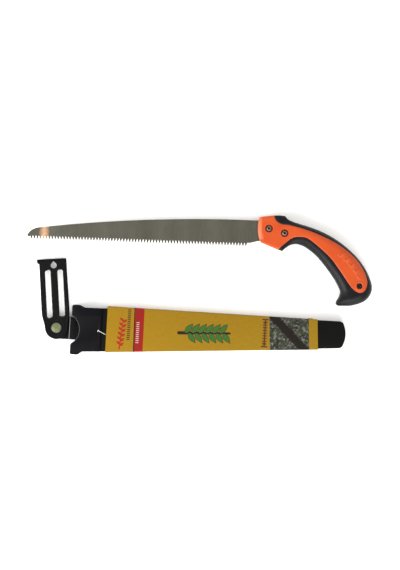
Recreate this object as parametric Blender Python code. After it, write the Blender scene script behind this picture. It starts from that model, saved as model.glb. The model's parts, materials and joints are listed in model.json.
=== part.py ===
"""A fixed-blade pruning saw with a pistol grip, lying above its scabbard.

The saw is a toothed steel blade held in an orange handle core by two screws, with a black
rubber grip moulded round the core. The scabbard is a throat moulding with two guide rollers,
a sheath body and a back plate. A belt hanger swivels on a stud at the throat, and a printed
card sleeve is slipped over the sheath.

Sizes are in millimetres and become metres as each mesh is made. The set lies on z = 0.
"""

import math

import bmesh
import bpy
from mathutils import Vector

MM = 0.001

# Fits
GAP = 0.3
CUT_PAST = 2.0

# Saw: the blade
BLADE_LENGTH = 300.0
BLADE_THICKNESS = 1.4
SPINE_HEIGHT = 10.2
SPINE_DROP = 19.5
SPINE_FLAT = 16.0
TOOTH_LINE = -24.2
TOOTH_PITCH = 3.9
TOOTH_DEPTH = 4.4
TIP_HEIGHT = -19.0
TIP_ROUND = 12.0
HEEL_GAP = 15.0
HEEL_HEIGHT = -16.9
TANG_LENGTH = 28.0

# Saw: the handle
SAW_PLACE = (90.26, 73.42)
SAW_TILT = -2.04
NOSE_REACH = 14.2
NOSE_HALF = 8.0
BOLSTER_HALF = 9.0
GRIP_HALF = 12.4
BUTT_HALF = 13.4
SAW_MIDDLE = BUTT_HALF
CORE_EDGE = 1.6
GRIP_EDGE = 2.2
HANG_HOLE_AT = (119.7, -70.6)
HANG_HOLE_RADIUS = 3.85

# Saw: the two screws and their nuts
SCREW_PLACES = {"front": (0.0, 0.0), "rear": (20.5, -5.3)}
SCREW_RADIUS = 2.0
SCREW_HEAD_RADIUS = 3.65
SCREW_HEAD_HEIGHT = 2.4
SCREW_SINK = 3.4
SOCKET_ACROSS = 2.7
SOCKET_DEPTH = 1.5
RECESS_ROOM = 1.5
NUT_ACROSS = 7.0
NUT_HEIGHT = 3.2
NUT_SINK = 3.8

# Scabbard: its place, and the sheath, measured along it from the hanger's stud
STUD_PLACE = (-186.84, -55.68)
SCABBARD_TILT = -3.4
THROAT_START = 19.9
SHEATH_START = 58.0
SHEATH_SPARE = 56.9
SHEATH_END = THROAT_START + BLADE_LENGTH + SHEATH_SPARE
SHEATH_TOP_START = 28.8
SHEATH_TOP_END = 30.2
SHEATH_BOTTOM_START = -27.6
SHEATH_BOTTOM_END = -4.8
SHEATH_LOW = 1.0
SHEATH_HIGH = 15.7
SHEATH_WALL = 1.8
SHEATH_CORNER = 6.0
TIP_BULGE = 2.6
TIP_CROWN = 4.9
SPIGOT_LENGTH = 12.0

# Scabbard: the throat
THROAT_HIGH = 18.0
THROAT_WALL = 2.0
THROAT_FLOOR = 2.8
EAR_LENGTH = 11.4
EAR_RISE = 2.6
EAR_FALL = 5.6
EAR_TOP = SHEATH_TOP_START + EAR_RISE
EAR_BOTTOM = SHEATH_BOTTOM_START - EAR_FALL
EAR_CORNER = 2.2
EAR_SLOPE = 4.6
SCALLOP_AT = (9.07, -1.29)
SCALLOP_RADIUS = 21.6
SCALLOP_STEP = 0.6
TAB_RADIUS = 14.8
TAB_MIDDLE = 0.5
FOOT_ROOM = 2.0
PAD_REACH = 17.0
PAD_SLOPE = 3.0
PAD_HEIGHT = 5.4

# Scabbard: guide rollers on their pins
ROLLER_RADIUS = 4.5
ROLLER_ALONG = 27.0
PIN_RADIUS = 1.5
PIN_LOW = 0.4
PIN_BLIND = 0.9

# Belt hanger and its stud
HANGER_SWIVEL = 6.3
HANGER_THICKNESS = 2.8
HANGER_HALF_WIDTH = 18.25
HANGER_FOOT_RADIUS = 15.0
HANGER_FLARE = 20.0
HANGER_HEIGHT = 90.1
LIP_REACH = 2.8
LIP_HEIGHT = 6.2
SLOT_WIDTH = 7.1
SLOT_LEFT = -7.7
SLOT_RIGHT = 8.5
SLOT_TOP = 75.4
SLOT_BOTTOM_LEFT = 12.8
SLOT_BOTTOM_RIGHT = 14.4
SLOT_CORNER = 2.4
HANGER_HOLE_AT = (0.5, 81.4)
HANGER_HOLE_RADIUS = 3.9
HANGER_HOLE_POINT = 5.4
STUD_RADIUS = 3.2
STUD_HEAD_RADIUS = 6.5
STUD_HEAD_HEIGHT = 2.2
WASHER_RADIUS = 6.0
WASHER_THICKNESS = 1.0
WASHER_SINK = 0.4

# Card sleeve and its nylon tack
CARD_SETBACK = 7.8
BARE_TIP = 36.3
CARD_START = SHEATH_START + CARD_SETBACK
CARD_END = SHEATH_END - BARE_TIP
CARD_END_SLANT = 2.8
CARD_WALL = 0.7
TACK_SETBACK = 2.6
TACK_AT = (SHEATH_START - TACK_SETBACK, -0.3)
TACK_RADIUS = 0.45
TACK_HOLE_RADIUS = 1.1


# ---------------------------------------------------------------- outlines


def smooth(points, steps):
    """An open run of points on a curve through the given ones, without the last one."""
    padded = [points[0], *points, points[-1]]
    run = []
    for before, start, end, after in zip(padded, padded[1:], padded[2:], padded[3:]):
        for step in range(steps):
            t = step / steps
            run.append(
                tuple(
                    0.5
                    * (
                        2 * b
                        + (c - a) * t
                        + (2 * a - 5 * b + 4 * c - d) * t**2
                        + (3 * b - a - 3 * c + d) * t**3
                    )
                    for a, b, c, d in zip(before, start, end, after)
                )
            )
    return run


def arc(centre, radius, start, end, steps):
    """Points on an arc, from one angle in degrees to another."""
    angles = [math.radians(start + (end - start) * step / steps) for step in range(steps + 1)]
    return [
        (centre[0] + radius * math.cos(a), centre[1] + radius * math.sin(a)) for a in angles
    ]


def circle(centre, radius, sides):
    """A closed circle of points, anticlockwise."""
    return arc(centre, radius, 0, 360, sides)[:-1]


def hexagon(centre, across):
    """A closed hexagon of the given size across its flats."""
    return circle(centre, across / math.sqrt(3), 6)


def round_box(left, right, bottom, top, radius, steps=4):
    """A closed rectangle with round corners, anticlockwise."""
    corners = [(right, top, 0), (left, top, 90), (left, bottom, 180), (right, bottom, 270)]
    points = []
    for x, y, start in corners:
        centre = (x - math.copysign(radius, x - (left + right) / 2), 0)
        centre = (centre[0], y - math.copysign(radius, y - (bottom + top) / 2))
        points += arc(centre, radius, start, start + 90, steps)
    return points


def grown(points, distance):
    """A closed anticlockwise outline, moved outwards by a distance."""
    moved = []
    count = len(points)
    for index, point in enumerate(points):
        here = Vector(point)
        into = (here - Vector(points[index - 1])).normalized()
        out = (Vector(points[(index + 1) % count]) - here).normalized()
        normal_in = Vector((into.y, -into.x))
        normal_out = Vector((out.y, -out.x))
        mitre = normal_in + normal_out
        mitre *= distance / max(mitre.dot(normal_out), 0.5)
        moved.append(tuple(here + mitre))
    return moved


# ---------------------------------------------------------------- solids


def material(name, color, roughness, metallic=0.0):
    """A plain Principled material."""
    made = bpy.data.materials.new(name)
    made.use_nodes = True
    shader = made.node_tree.nodes["Principled BSDF"]
    shader.inputs["Base Color"].default_value = (*color, 1.0)
    shader.inputs["Roughness"].default_value = roughness
    shader.inputs["Metallic"].default_value = metallic
    return made


def frame(name, place, turn, parent=None):
    """An empty that other pieces are placed on."""
    empty = bpy.data.objects.new(name, None)
    bpy.context.scene.collection.objects.link(empty)
    empty.location = Vector((place[0], place[1], 0)) * MM
    empty.rotation_euler = (0, 0, math.radians(turn))
    empty.parent = parent
    return empty


def solid(name, rings, parent, finish=None, place=(0, 0, 0)):
    """A closed body through rings of points that run anticlockwise, from the lowest up."""
    mesh = bpy.data.meshes.new(name)
    body = bmesh.new()
    loops = [[body.verts.new(Vector(point) * MM) for point in ring] for ring in rings]
    for lower, upper in zip(loops, loops[1:]):
        for index in range(len(lower)):
            after = (index + 1) % len(lower)
            body.faces.new((lower[index], lower[after], upper[after], upper[index]))
    caps = [body.faces.new(loops[0][::-1]), body.faces.new(loops[-1])]
    for cap in caps:
        cap.normal_update()
    bmesh.ops.triangulate(body, faces=caps)
    bmesh.ops.recalc_face_normals(body, faces=body.faces)
    body.to_mesh(mesh)
    body.free()
    mesh.shade_smooth()
    mesh.set_sharp_from_angle(angle=math.radians(35))
    piece = bpy.data.objects.new(name, mesh)
    bpy.context.scene.collection.objects.link(piece)
    piece.parent = parent
    piece.location = Vector(place) * MM
    if finish:
        mesh.materials.append(finish)
    else:
        piece.hide_render = True
        piece.display_type = "WIRE"
    return piece


def prism(name, outline, low, high, parent, finish=None, place=(0, 0, 0)):
    """An outline raised between two heights."""
    rings = [[(x, y, z) for x, y in outline] for z in (low, high)]
    return solid(name, rings, parent, finish, place)


def crowned(name, outline, middle, half, edge, parent, finish, steps=3):
    """An outline with rounded edges, whose half thickness changes along it."""
    turns = [math.radians(90 * step / steps) for step in range(steps + 1)]
    upper = []
    for turn in turns:
        inner = grown(outline, -edge * (1 - math.cos(turn)))
        lift = edge * (1 - math.sin(turn))
        pairs = zip(outline, inner)
        upper.append([(x, y, middle + half(along) - lift) for (along, _), (x, y) in pairs])
    lower = [[(x, y, 2 * middle - z) for x, y, z in ring] for ring in upper]
    return solid(name, [*lower[::-1], *upper], parent, finish)


def turned(name, profile, sides, parent, finish, place=(0, 0, 0)):
    """A round body from a profile of (radius, height) pairs, from the lowest up."""
    rings = [[(x, y, z) for x, y in circle((0, 0), r, sides)] for r, z in profile]
    return solid(name, rings, parent, finish, place)


def combine(piece, other, operation="DIFFERENCE"):
    """Cut a piece with another body, or join the other body to it."""
    step = piece.modifiers.new(other.name, "BOOLEAN")
    step.operation = operation
    step.solver = "EXACT"
    step.object = other


def bore(piece, centre, radius, low, high, parent, sides=32):
    """Cut a round hole between two heights."""
    name = f"{piece.name}_bore_{len(piece.modifiers)}"
    combine(piece, prism(name, circle(centre, radius, sides), low, high, parent))


# ---------------------------------------------------------------- saw


def between(value, stations):
    """Read a value from (place, value) stations, easing from each to the next."""
    for (start, low), (end, high) in zip(stations, stations[1:]):
        if value < end:
            t = min(max((value - start) / (end - start), 0.0), 1.0)
            return low + (high - low) * t * t * (3 - 2 * t)
    return stations[-1][1]


def half_thickness(along):
    """Half the handle's thickness, from the nose to the butt."""
    stations = ((-NOSE_REACH, NOSE_HALF), (0, BOLSTER_HALF), (18, BOLSTER_HALF))
    return between(along, (*stations, (66, GRIP_HALF), (112, BUTT_HALF)))


def tang_outline(grow, reach):
    """The tang's top and bottom edges inside the handle, grown by a fit."""
    top = [(-reach, SPINE_HEIGHT - 0.2), (5, 9.2), (TANG_LENGTH - 6, 2.6)]
    end = [(TANG_LENGTH, -0.8), (TANG_LENGTH, -9.0), (TANG_LENGTH - 8, -12.6)]
    bottom = [(3, -15.6), (-9, -16.0), (-reach, HEEL_HEIGHT)]
    return grown([*bottom[::-1], *end[::-1], *top[::-1]], grow)


def blade_outline():
    """The blade's outline, anticlockwise from the heel above the handle's nose."""
    nose = -NOSE_REACH
    tip = nose - BLADE_LENGTH
    flat = nose - SPINE_FLAT
    low = tip + TIP_ROUND
    run = low - flat
    spine = []
    for step in range(19):
        along = flat + run * step / 18
        spine.append((along, SPINE_HEIGHT - SPINE_DROP * ((along - flat) / run) ** 2))
    end = SPINE_HEIGHT - SPINE_DROP
    nib = [
        (tip + 7.0, end - 2.2),
        (tip + 3.4, end - 4.8),
        (tip + 1.0, end - 7.8),
        (tip, TIP_HEIGHT),
        (tip + 1.2, TIP_HEIGHT - 1.8),
        (tip + 3.2, TIP_HEIGHT - 3.0),
    ]
    first = tip + 5.7
    last = nose - HEEL_GAP
    count = round((last - first) / TOOTH_PITCH)
    pitch = (last - first) / count
    teeth = []
    for tooth in range(count):
        teeth.append((first + tooth * pitch, TOOTH_LINE))
        teeth.append((first + (tooth + 0.5) * pitch, TOOTH_LINE + TOOTH_DEPTH))
    teeth.append((last, TOOTH_LINE))
    heel = [(last + 5.8, HEEL_HEIGHT - 2.6), (nose - 0.5, HEEL_HEIGHT - 0.1)]
    return [*spine, *nib, *teeth, *heel, *tang_outline(0, NOSE_REACH)]


def core_outline():
    """The orange core's outline, anticlockwise from the top of the nose."""
    nose = [(-12.4, 14.5), (-NOSE_REACH, 8.0), (-NOSE_REACH, -4.4), (-11.9, -14.7), (-9.0, -18.9)]
    under = [(-9.0, -18.9), (-1.1, -21.8), (12.4, -27.0)]
    finger = [
        (12.4, -27.0),
        (27.9, -13.1),
        (34.9, -10.0),
        (44.1, -9.6),
        (51.2, -11.6),
        (63.1, -19.9),
        (79.9, -34.4),
        (92.0, -49.2),
        (104.2, -66.1),
        (111.6, -75.0),
        (119.9, -79.4),
        (126.7, -76.4),
        (129.7, -68.7),
        (129.0, -60.7),
        (124.6, -50.3),
        (114.9, -36.7),
        (102.8, -26.0),
        (85.0, -14.6),
        (62.6, -4.8),
        (43.7, 1.4),
        (27.3, 5.0),
        (16.9, 6.2),
        (10.4, 9.2),
        (7.2, 13.0),
        (6.4, 17.0),
    ]
    top = [(6.4, 17.0), (0.0, 16.5), (-6.3, 15.4), (-12.4, 14.5)]
    return smooth(nose, 2) + smooth(under, 2) + smooth(finger, 2) + smooth(top, 2)


def grip_outline():
    """The rubber grip's outer outline, anticlockwise from the trigger hook."""
    finger = [
        (18.1, -28.8),
        (26.3, -21.9),
        (34.0, -19.1),
        (41.9, -20.1),
        (49.8, -23.9),
        (61.9, -32.8),
        (74.0, -45.9),
        (86.3, -61.8),
        (94.0, -74.8),
        (95.4, -80.6),
        (93.2, -86.6),
        (90.4, -91.8),
        (90.6, -95.4),
        (93.8, -97.1),
        (98.5, -97.2),
        (111.0, -96.5),
        (126.4, -91.0),
        (134.4, -82.4),
        (136.8, -71.6),
        (133.1, -59.1),
        (124.8, -44.4),
        (112.6, -30.1),
        (96.4, -16.8),
        (80.5, -7.0),
        (64.6, 0.1),
        (48.8, 5.1),
        (33.0, 9.3),
        (25.1, 12.4),
        (20.6, 16.9),
    ]
    thumb = [(20.6, 16.9), (13.2, 17.6), (5.0, 17.0)]
    inside = [(5.0, 17.0), (5.0, -10.0), (11.0, -26.2), (18.1, -28.8)]
    return smooth(finger, 2) + smooth(thumb, 2) + inside[:-1]


def make_saw():
    """The blade, the handle core, the rubber grip and the two screws with their nuts."""
    saw = frame("saw_frame", SAW_PLACE, SAW_TILT)
    steel = material("blade_steel", (0.13, 0.125, 0.1), 0.35, 0.9)
    orange = material("orange_plastic", (0.84, 0.1, 0.025), 0.4)
    rubber = material("black_rubber", (0.012, 0.012, 0.014), 0.55)
    bolt = material("screw_steel", (0.3, 0.25, 0.2), 0.35, 1.0)

    side = BLADE_THICKNESS / 2
    blade = prism("blade", blade_outline(), SAW_MIDDLE - side, SAW_MIDDLE + side, saw, steel)

    core = crowned(
        "handle_core", core_outline(), SAW_MIDDLE, half_thickness, CORE_EDGE, saw, orange
    )
    slot = prism(
        "tang_slot",
        tang_outline(GAP, NOSE_REACH + CUT_PAST),
        SAW_MIDDLE - side - GAP,
        SAW_MIDDLE + side + GAP,
        saw,
    )
    combine(core, slot)
    low = SAW_MIDDLE - BUTT_HALF - CUT_PAST
    high = SAW_MIDDLE + BUTT_HALF + CUT_PAST
    bore(core, HANG_HOLE_AT, HANG_HOLE_RADIUS, low, high, saw)

    grip = crowned(
        "grip_overmould", grip_outline(), SAW_MIDDLE, half_thickness, GRIP_EDGE, saw, rubber
    )
    window = prism("core_window", grown(core_outline(), GAP), low, high, saw)
    combine(grip, window)

    seat = SAW_MIDDLE + BOLSTER_HALF - SCREW_SINK
    floor = SAW_MIDDLE - BOLSTER_HALF + NUT_SINK
    for name, at in SCREW_PLACES.items():
        place = (*at, 0)
        bore(core, at, SCREW_HEAD_RADIUS + RECESS_ROOM, seat, high, saw)
        bore(core, at, SCREW_RADIUS + GAP, low, high, saw)
        combine(
            core, prism(f"{name}_nut_pocket", hexagon(at, NUT_ACROSS + 2 * GAP), low, floor, saw)
        )
        bore(blade, at, SCREW_RADIUS + GAP, low, high, saw)

        under = seat + GAP
        nut_low = floor - GAP - NUT_HEIGHT
        r = SCREW_HEAD_RADIUS
        profile = [
            (SCREW_RADIUS - 0.4, nut_low),
            (SCREW_RADIUS, nut_low + 0.5),
            (SCREW_RADIUS, under),
            (r, under),
            (r, under + 0.4 * SCREW_HEAD_HEIGHT),
            (0.87 * r, under + 0.8 * SCREW_HEAD_HEIGHT),
            (0.62 * r, under + SCREW_HEAD_HEIGHT),
        ]
        screw = turned(f"{name}_screw", profile, 24, saw, bolt, place)
        top = under + SCREW_HEAD_HEIGHT
        combine(
            screw,
            prism(f"{name}_socket", hexagon(at, SOCKET_ACROSS), top - SOCKET_DEPTH, high, saw),
        )
        nut = prism(
            f"{name}_nut",
            hexagon((0, 0), NUT_ACROSS),
            nut_low,
            nut_low + NUT_HEIGHT,
            saw,
            bolt,
            place,
        )
        bore(nut, at, SCREW_RADIUS + GAP, low, high, saw, 24)


# ---------------------------------------------------------------- scabbard


def sheath_edges(along):
    """The sheath's bottom and top edges at a distance along it."""
    share = (along - SHEATH_START) / (SHEATH_END - SHEATH_START)
    bottom = SHEATH_BOTTOM_START + (SHEATH_BOTTOM_END - SHEATH_BOTTOM_START) * share
    top = SHEATH_TOP_START + (SHEATH_TOP_END - SHEATH_TOP_START) * share
    return bottom, top


def sheath_outline(start, inset):
    """The sheath's tapered outline with a round tip, moved inwards by an inset."""
    end = SHEATH_END - inset
    shoulder = end - TIP_BULGE
    radius = max(SHEATH_CORNER - inset, 1.0)
    low, high = sheath_edges(shoulder)
    low, high = low + inset, high - inset
    first_low, first_high = sheath_edges(start)
    points = [(start, first_high - inset), (start, first_low + inset)]
    points += arc((shoulder - radius, low + radius), radius, 270, 335, 5)
    middle = (low + high) / 2
    half = (high - low) / 2
    for share in (-0.5, -0.25, 0.0, 0.25, 0.5):
        points.append((end - TIP_CROWN * share**2, middle + half * share))
    points += arc((shoulder - radius, high - radius), radius, 25, 90, 5)
    return points


def spigot_edges():
    """The bottom and top of the spigot that plugs into the throat."""
    bottom, top = sheath_edges(SHEATH_START)
    return bottom + THROAT_WALL + GAP, top - THROAT_WALL - GAP


def stepped_outline(inset):
    """The sheath's outline with its narrower spigot, moved inwards by an inset."""
    main = sheath_outline(SHEATH_START + GAP + inset, inset)
    bottom, top = spigot_edges()
    start = SHEATH_START - SPIGOT_LENGTH
    if inset:
        start -= CUT_PAST
    step = SHEATH_START + GAP + inset
    neck = [
        (step, top - inset),
        (start, top - inset),
        (start, bottom + inset),
        (step, bottom + inset),
    ]
    return [main[0], *neck, *main[1:]]


def make_sheath(scabbard):
    """The sheath body, a channel with a closed tip, and the plate that closes its back."""
    black = material("sheath_plastic", (0.012, 0.012, 0.014), 0.45)
    split = SHEATH_LOW + SHEATH_WALL + GAP
    body = prism("sheath_body", stepped_outline(0), split, SHEATH_HIGH, scabbard, black)
    hollow = prism(
        "sheath_hollow",
        stepped_outline(SHEATH_WALL),
        split - CUT_PAST,
        SHEATH_HIGH - SHEATH_WALL,
        scabbard,
    )
    combine(body, hollow)
    prism(
        "sheath_back",
        sheath_outline(SHEATH_START + GAP, 0),
        SHEATH_LOW,
        SHEATH_LOW + SHEATH_WALL,
        scabbard,
        black,
    )


def throat_outline():
    """The throat's outline: two ears, the scalloped mouth between them and the round tab."""
    bottom, top = sheath_edges(SHEATH_START)
    ear_end = THROAT_START + EAR_LENGTH
    corner = EAR_CORNER
    left = THROAT_START + corner
    right = ear_end - corner
    radius = SCALLOP_RADIUS - SCALLOP_STEP
    across, middle = SCALLOP_AT
    lip = math.degrees(math.acos((THROAT_START - across) / radius))
    tab_top = math.degrees(math.asin((TAB_MIDDLE + TAB_RADIUS - middle) / radius))
    tab_low = math.degrees(math.asin((TAB_MIDDLE - TAB_RADIUS - middle) / radius))
    points = arc((left, EAR_TOP - corner), corner, 90, 180, 4)
    points += arc(SCALLOP_AT, radius, lip, tab_top, 3)
    points += arc((0, TAB_MIDDLE), TAB_RADIUS, 90, 270, 24)
    points += arc(SCALLOP_AT, radius, tab_low, -lip, 6)
    points += arc((left, EAR_BOTTOM + corner), corner, 180, 270, 4)
    points += arc((right, EAR_BOTTOM + corner), corner, 270, 315, 2)
    points += [(ear_end + EAR_SLOPE, bottom - 1.2), (SHEATH_START, bottom)]
    points += [(SHEATH_START, top), (ear_end + EAR_SLOPE, top - 0.4)]
    points += arc((right, EAR_TOP - corner), corner, 45, 90, 2)
    return points


def hollow_edges():
    """The bottom and top of the throat's hollow, which the spigot fits."""
    bottom, top = spigot_edges()
    return bottom - GAP, top + GAP


def roller_heights():
    """The distance across the scabbard of each roller's axis, beside the hollow's walls."""
    bottom, top = hollow_edges()
    inset = ROLLER_RADIUS + GAP
    return {"upper": top - inset, "lower": bottom + inset}


def make_throat(scabbard):
    """The throat: a collar with a scalloped mouth, and a tab that carries the hanger."""
    black = material("throat_plastic", (0.014, 0.014, 0.016), 0.5)
    throat = prism("throat", throat_outline(), 0, THROAT_HIGH, scabbard, black)
    ceiling = THROAT_HIGH - THROAT_WALL
    above = THROAT_HIGH + CUT_PAST
    start = -TAB_RADIUS - CUT_PAST
    end = SHEATH_START + CUT_PAST
    pad_start = HANGER_FOOT_RADIUS + FOOT_ROOM
    pad_end = pad_start + PAD_REACH
    profile = [
        (start, PAD_HEIGHT),
        (pad_end, PAD_HEIGHT),
        (pad_end + PAD_SLOPE, THROAT_FLOOR),
        (end, THROAT_FLOOR),
        (end, ceiling),
        (start, ceiling),
    ]
    rings = [[(x, y, z) for x, z in profile] for y in hollow_edges()]
    combine(throat, solid("throat_hollow", rings, scabbard))
    bore(throat, SCALLOP_AT, SCALLOP_RADIUS, ceiling - 1.0, above, scabbard, 96)
    half = SCALLOP_RADIUS
    pocket = [(start, half), (start, -half), (pad_start, -half), (pad_start, half)]
    combine(throat, prism("hanger_pocket", pocket, THROAT_FLOOR, above, scabbard))

    sink = WASHER_SINK + WASHER_THICKNESS + GAP
    bore(throat, (0, 0), STUD_RADIUS + GAP, -CUT_PAST, THROAT_HIGH, scabbard)
    bore(throat, (0, 0), WASHER_RADIUS + GAP, -CUT_PAST, sink, scabbard)
    pin_top = ceiling + PIN_BLIND + GAP
    for height in roller_heights().values():
        place = (ROLLER_ALONG, height)
        bore(throat, place, ROLLER_RADIUS + GAP, THROAT_FLOOR, PAD_HEIGHT + 1.0, scabbard)
        bore(throat, place, PIN_RADIUS + GAP, -CUT_PAST, pin_top, scabbard, 16)
    bore(throat, TACK_AT, TACK_HOLE_RADIUS, ceiling - CUT_PAST, above, scabbard, 16)


def make_rollers(scabbard):
    """Two nylon rollers that guide the blade, each on a steel pin."""
    nylon = material("roller_nylon", (0.5, 0.49, 0.45), 0.5)
    steel = material("pin_steel", (0.45, 0.45, 0.46), 0.3, 1.0)
    ceiling = THROAT_HIGH - THROAT_WALL
    for name, height in roller_heights().items():
        place = (ROLLER_ALONG, height, 0)
        roller = turned(
            f"{name}_roller",
            [
                (ROLLER_RADIUS - 0.5, THROAT_FLOOR + GAP),
                (ROLLER_RADIUS, THROAT_FLOOR + GAP + 0.5),
                (ROLLER_RADIUS, ceiling - GAP - 0.5),
                (ROLLER_RADIUS - 0.5, ceiling - GAP),
            ],
            24,
            scabbard,
            nylon,
            place,
        )
        bore(roller, place[:2], PIN_RADIUS + GAP, -CUT_PAST, THROAT_HIGH, scabbard, 16)
        outline = circle((0, 0), PIN_RADIUS, 16)
        prism(f"{name}_pin", outline, PIN_LOW, ceiling + PIN_BLIND, scabbard, steel, place)


# ---------------------------------------------------------------- hanger


def hanger_outline():
    """The hanger's outline: a round foot, a plate that flares above it and a lip."""
    flare = HANGER_HALF_WIDTH - HANGER_FOOT_RADIUS
    rise = [step / 5 for step in range(1, 6)]
    right = [
        (HANGER_FOOT_RADIUS + flare * t * t * (3 - 2 * t), HANGER_FLARE * t) for t in rise
    ]
    left = [(-x, y) for x, y in right[::-1]]
    top = HANGER_HEIGHT
    lip = top - LIP_HEIGHT
    side = -HANGER_HALF_WIDTH
    corner = [(HANGER_HALF_WIDTH - 0.9, top - 0.6), (HANGER_HALF_WIDTH - 1.6, top)]
    hook = [
        (side - LIP_REACH, top),
        (side - LIP_REACH, lip + 1.6),
        (side - LIP_REACH + 1.2, lip + 0.3),
        (side, lip),
    ]
    foot = arc((0, 0), HANGER_FOOT_RADIUS, 180, 360, 24)
    return [*foot, *right, *corner, *hook, *left]


def slot_outline(middle, bottom):
    """A belt slot with round ends."""
    half = SLOT_WIDTH / 2
    return round_box(middle - half, middle + half, bottom, SLOT_TOP, SLOT_CORNER)


def teardrop():
    """The hanging hole: round below, drawn to a point above."""
    x, y = HANGER_HOLE_AT
    return [*arc(HANGER_HOLE_AT, HANGER_HOLE_RADIUS, 135, 405, 18), (x, y + HANGER_HOLE_POINT)]


def make_hanger(scabbard):
    """The belt hanger on its frame at the stud, the stud and its washer."""
    black = material("hanger_plastic", (0.014, 0.014, 0.016), 0.5)
    olive = material("passivated_steel", (0.28, 0.33, 0.11), 0.4, 0.7)
    swivel = frame("hanger_swivel_frame", (0, 0), HANGER_SWIVEL, scabbard)
    low = THROAT_FLOOR + GAP
    high = low + HANGER_THICKNESS
    hanger = prism("belt_hanger", hanger_outline(), low, high, swivel, black)
    below = low - CUT_PAST
    above = high + CUT_PAST
    openings = {
        "left_slot": slot_outline(SLOT_LEFT, SLOT_BOTTOM_LEFT),
        "right_slot": slot_outline(SLOT_RIGHT, SLOT_BOTTOM_RIGHT),
        "hanging_hole": teardrop(),
    }
    for name, outline in openings.items():
        combine(hanger, prism(name, outline, below, above, swivel))
    bore(hanger, (0, 0), STUD_RADIUS + GAP, below, above, swivel)

    head = high + GAP
    top = head + STUD_HEAD_HEIGHT
    profile = [
        (STUD_RADIUS, WASHER_SINK + 0.1),
        (STUD_RADIUS, head),
        (STUD_HEAD_RADIUS, head),
        (STUD_HEAD_RADIUS, head + 0.35 * STUD_HEAD_HEIGHT),
        (0.9 * STUD_HEAD_RADIUS, head + 0.75 * STUD_HEAD_HEIGHT),
        (0.6 * STUD_HEAD_RADIUS, top),
    ]
    turned("hanger_stud", profile, 32, scabbard, olive)
    outline = circle((0, 0), WASHER_RADIUS, 32)
    washer = prism(
        "stud_washer", outline, WASHER_SINK, WASHER_SINK + WASHER_THICKNESS, scabbard, olive
    )
    bore(washer, (0, 0), STUD_RADIUS + GAP, -CUT_PAST, THROAT_FLOOR, scabbard)


# ---------------------------------------------------------------- card sleeve


def band(start, end, grow):
    """A stretch of the sheath's taper, grown outwards across it, with a slanted far end."""
    low_end = end + CARD_END_SLANT / 2
    high_end = end - CARD_END_SLANT / 2
    return [
        (start, sheath_edges(start)[1] + grow),
        (start, sheath_edges(start)[0] - grow),
        (low_end, sheath_edges(low_end)[0] - grow),
        (high_end, sheath_edges(high_end)[1] + grow),
    ]


def make_card(scabbard):
    """The printed card sleeve round the sheath, and the nylon tack at its edge."""
    yellow = material("printed_card", (0.6, 0.35, 0.02), 0.4)
    nylon = material("tack_nylon", (0.8, 0.8, 0.78), 0.3)
    inner = GAP
    outer = GAP + CARD_WALL
    card = prism(
        "card_sleeve",
        band(CARD_START, CARD_END, outer),
        SHEATH_LOW - outer,
        SHEATH_HIGH + outer,
        scabbard,
        yellow,
    )
    inside = prism(
        "card_inside",
        band(CARD_START - CUT_PAST, CARD_END + CUT_PAST, inner),
        SHEATH_LOW - inner,
        SHEATH_HIGH + inner,
        scabbard,
    )
    combine(card, inside)

    x, y = TACK_AT
    top = THROAT_HIGH
    route = [
        (x, y, top - THROAT_WALL + 0.4),
        (x, y, top),
        (x + 1.0, y - 0.5, top + 0.8),
        (SHEATH_START + 1.6, y - 2.1, top + 0.7),
        (CARD_START - 3.0, y - 3.6, SHEATH_HIGH + 1.7),
        (CARD_START - TACK_RADIUS - GAP, y - 4.6, SHEATH_HIGH + 0.9),
    ]
    curve = bpy.data.curves.new("nylon_tack", "CURVE")
    curve.dimensions = "3D"
    curve.bevel_depth = TACK_RADIUS * MM
    curve.bevel_resolution = 2
    curve.use_fill_caps = True
    points = [*smooth(route, 2), route[-1]]
    spline = curve.splines.new("POLY")
    spline.points.add(len(points) - 1)
    for point, place in zip(spline.points, points):
        point.co = (*(Vector(place) * MM), 1.0)
    curve.materials.append(nylon)
    tack = bpy.data.objects.new("nylon_tack", curve)
    bpy.context.scene.collection.objects.link(tack)
    tack.parent = scabbard


# ---------------------------------------------------------------- the set


def main():
    for old in list(bpy.data.objects):
        bpy.data.objects.remove(old, do_unlink=True)
    make_saw()
    scabbard = frame("scabbard_frame", STUD_PLACE, SCABBARD_TILT)
    make_sheath(scabbard)
    make_throat(scabbard)
    make_rollers(scabbard)
    make_hanger(scabbard)
    make_card(scabbard)


main()
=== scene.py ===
"""The looks of a pistol-grip pruning saw and its scabbard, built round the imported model.

Lengths are in millimetres in each piece's own frame, and become metres when a mesh is placed.
"""

import json
import math

import bmesh
import bpy
import numpy as np
from mathutils import Matrix, Vector, geometry

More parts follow.
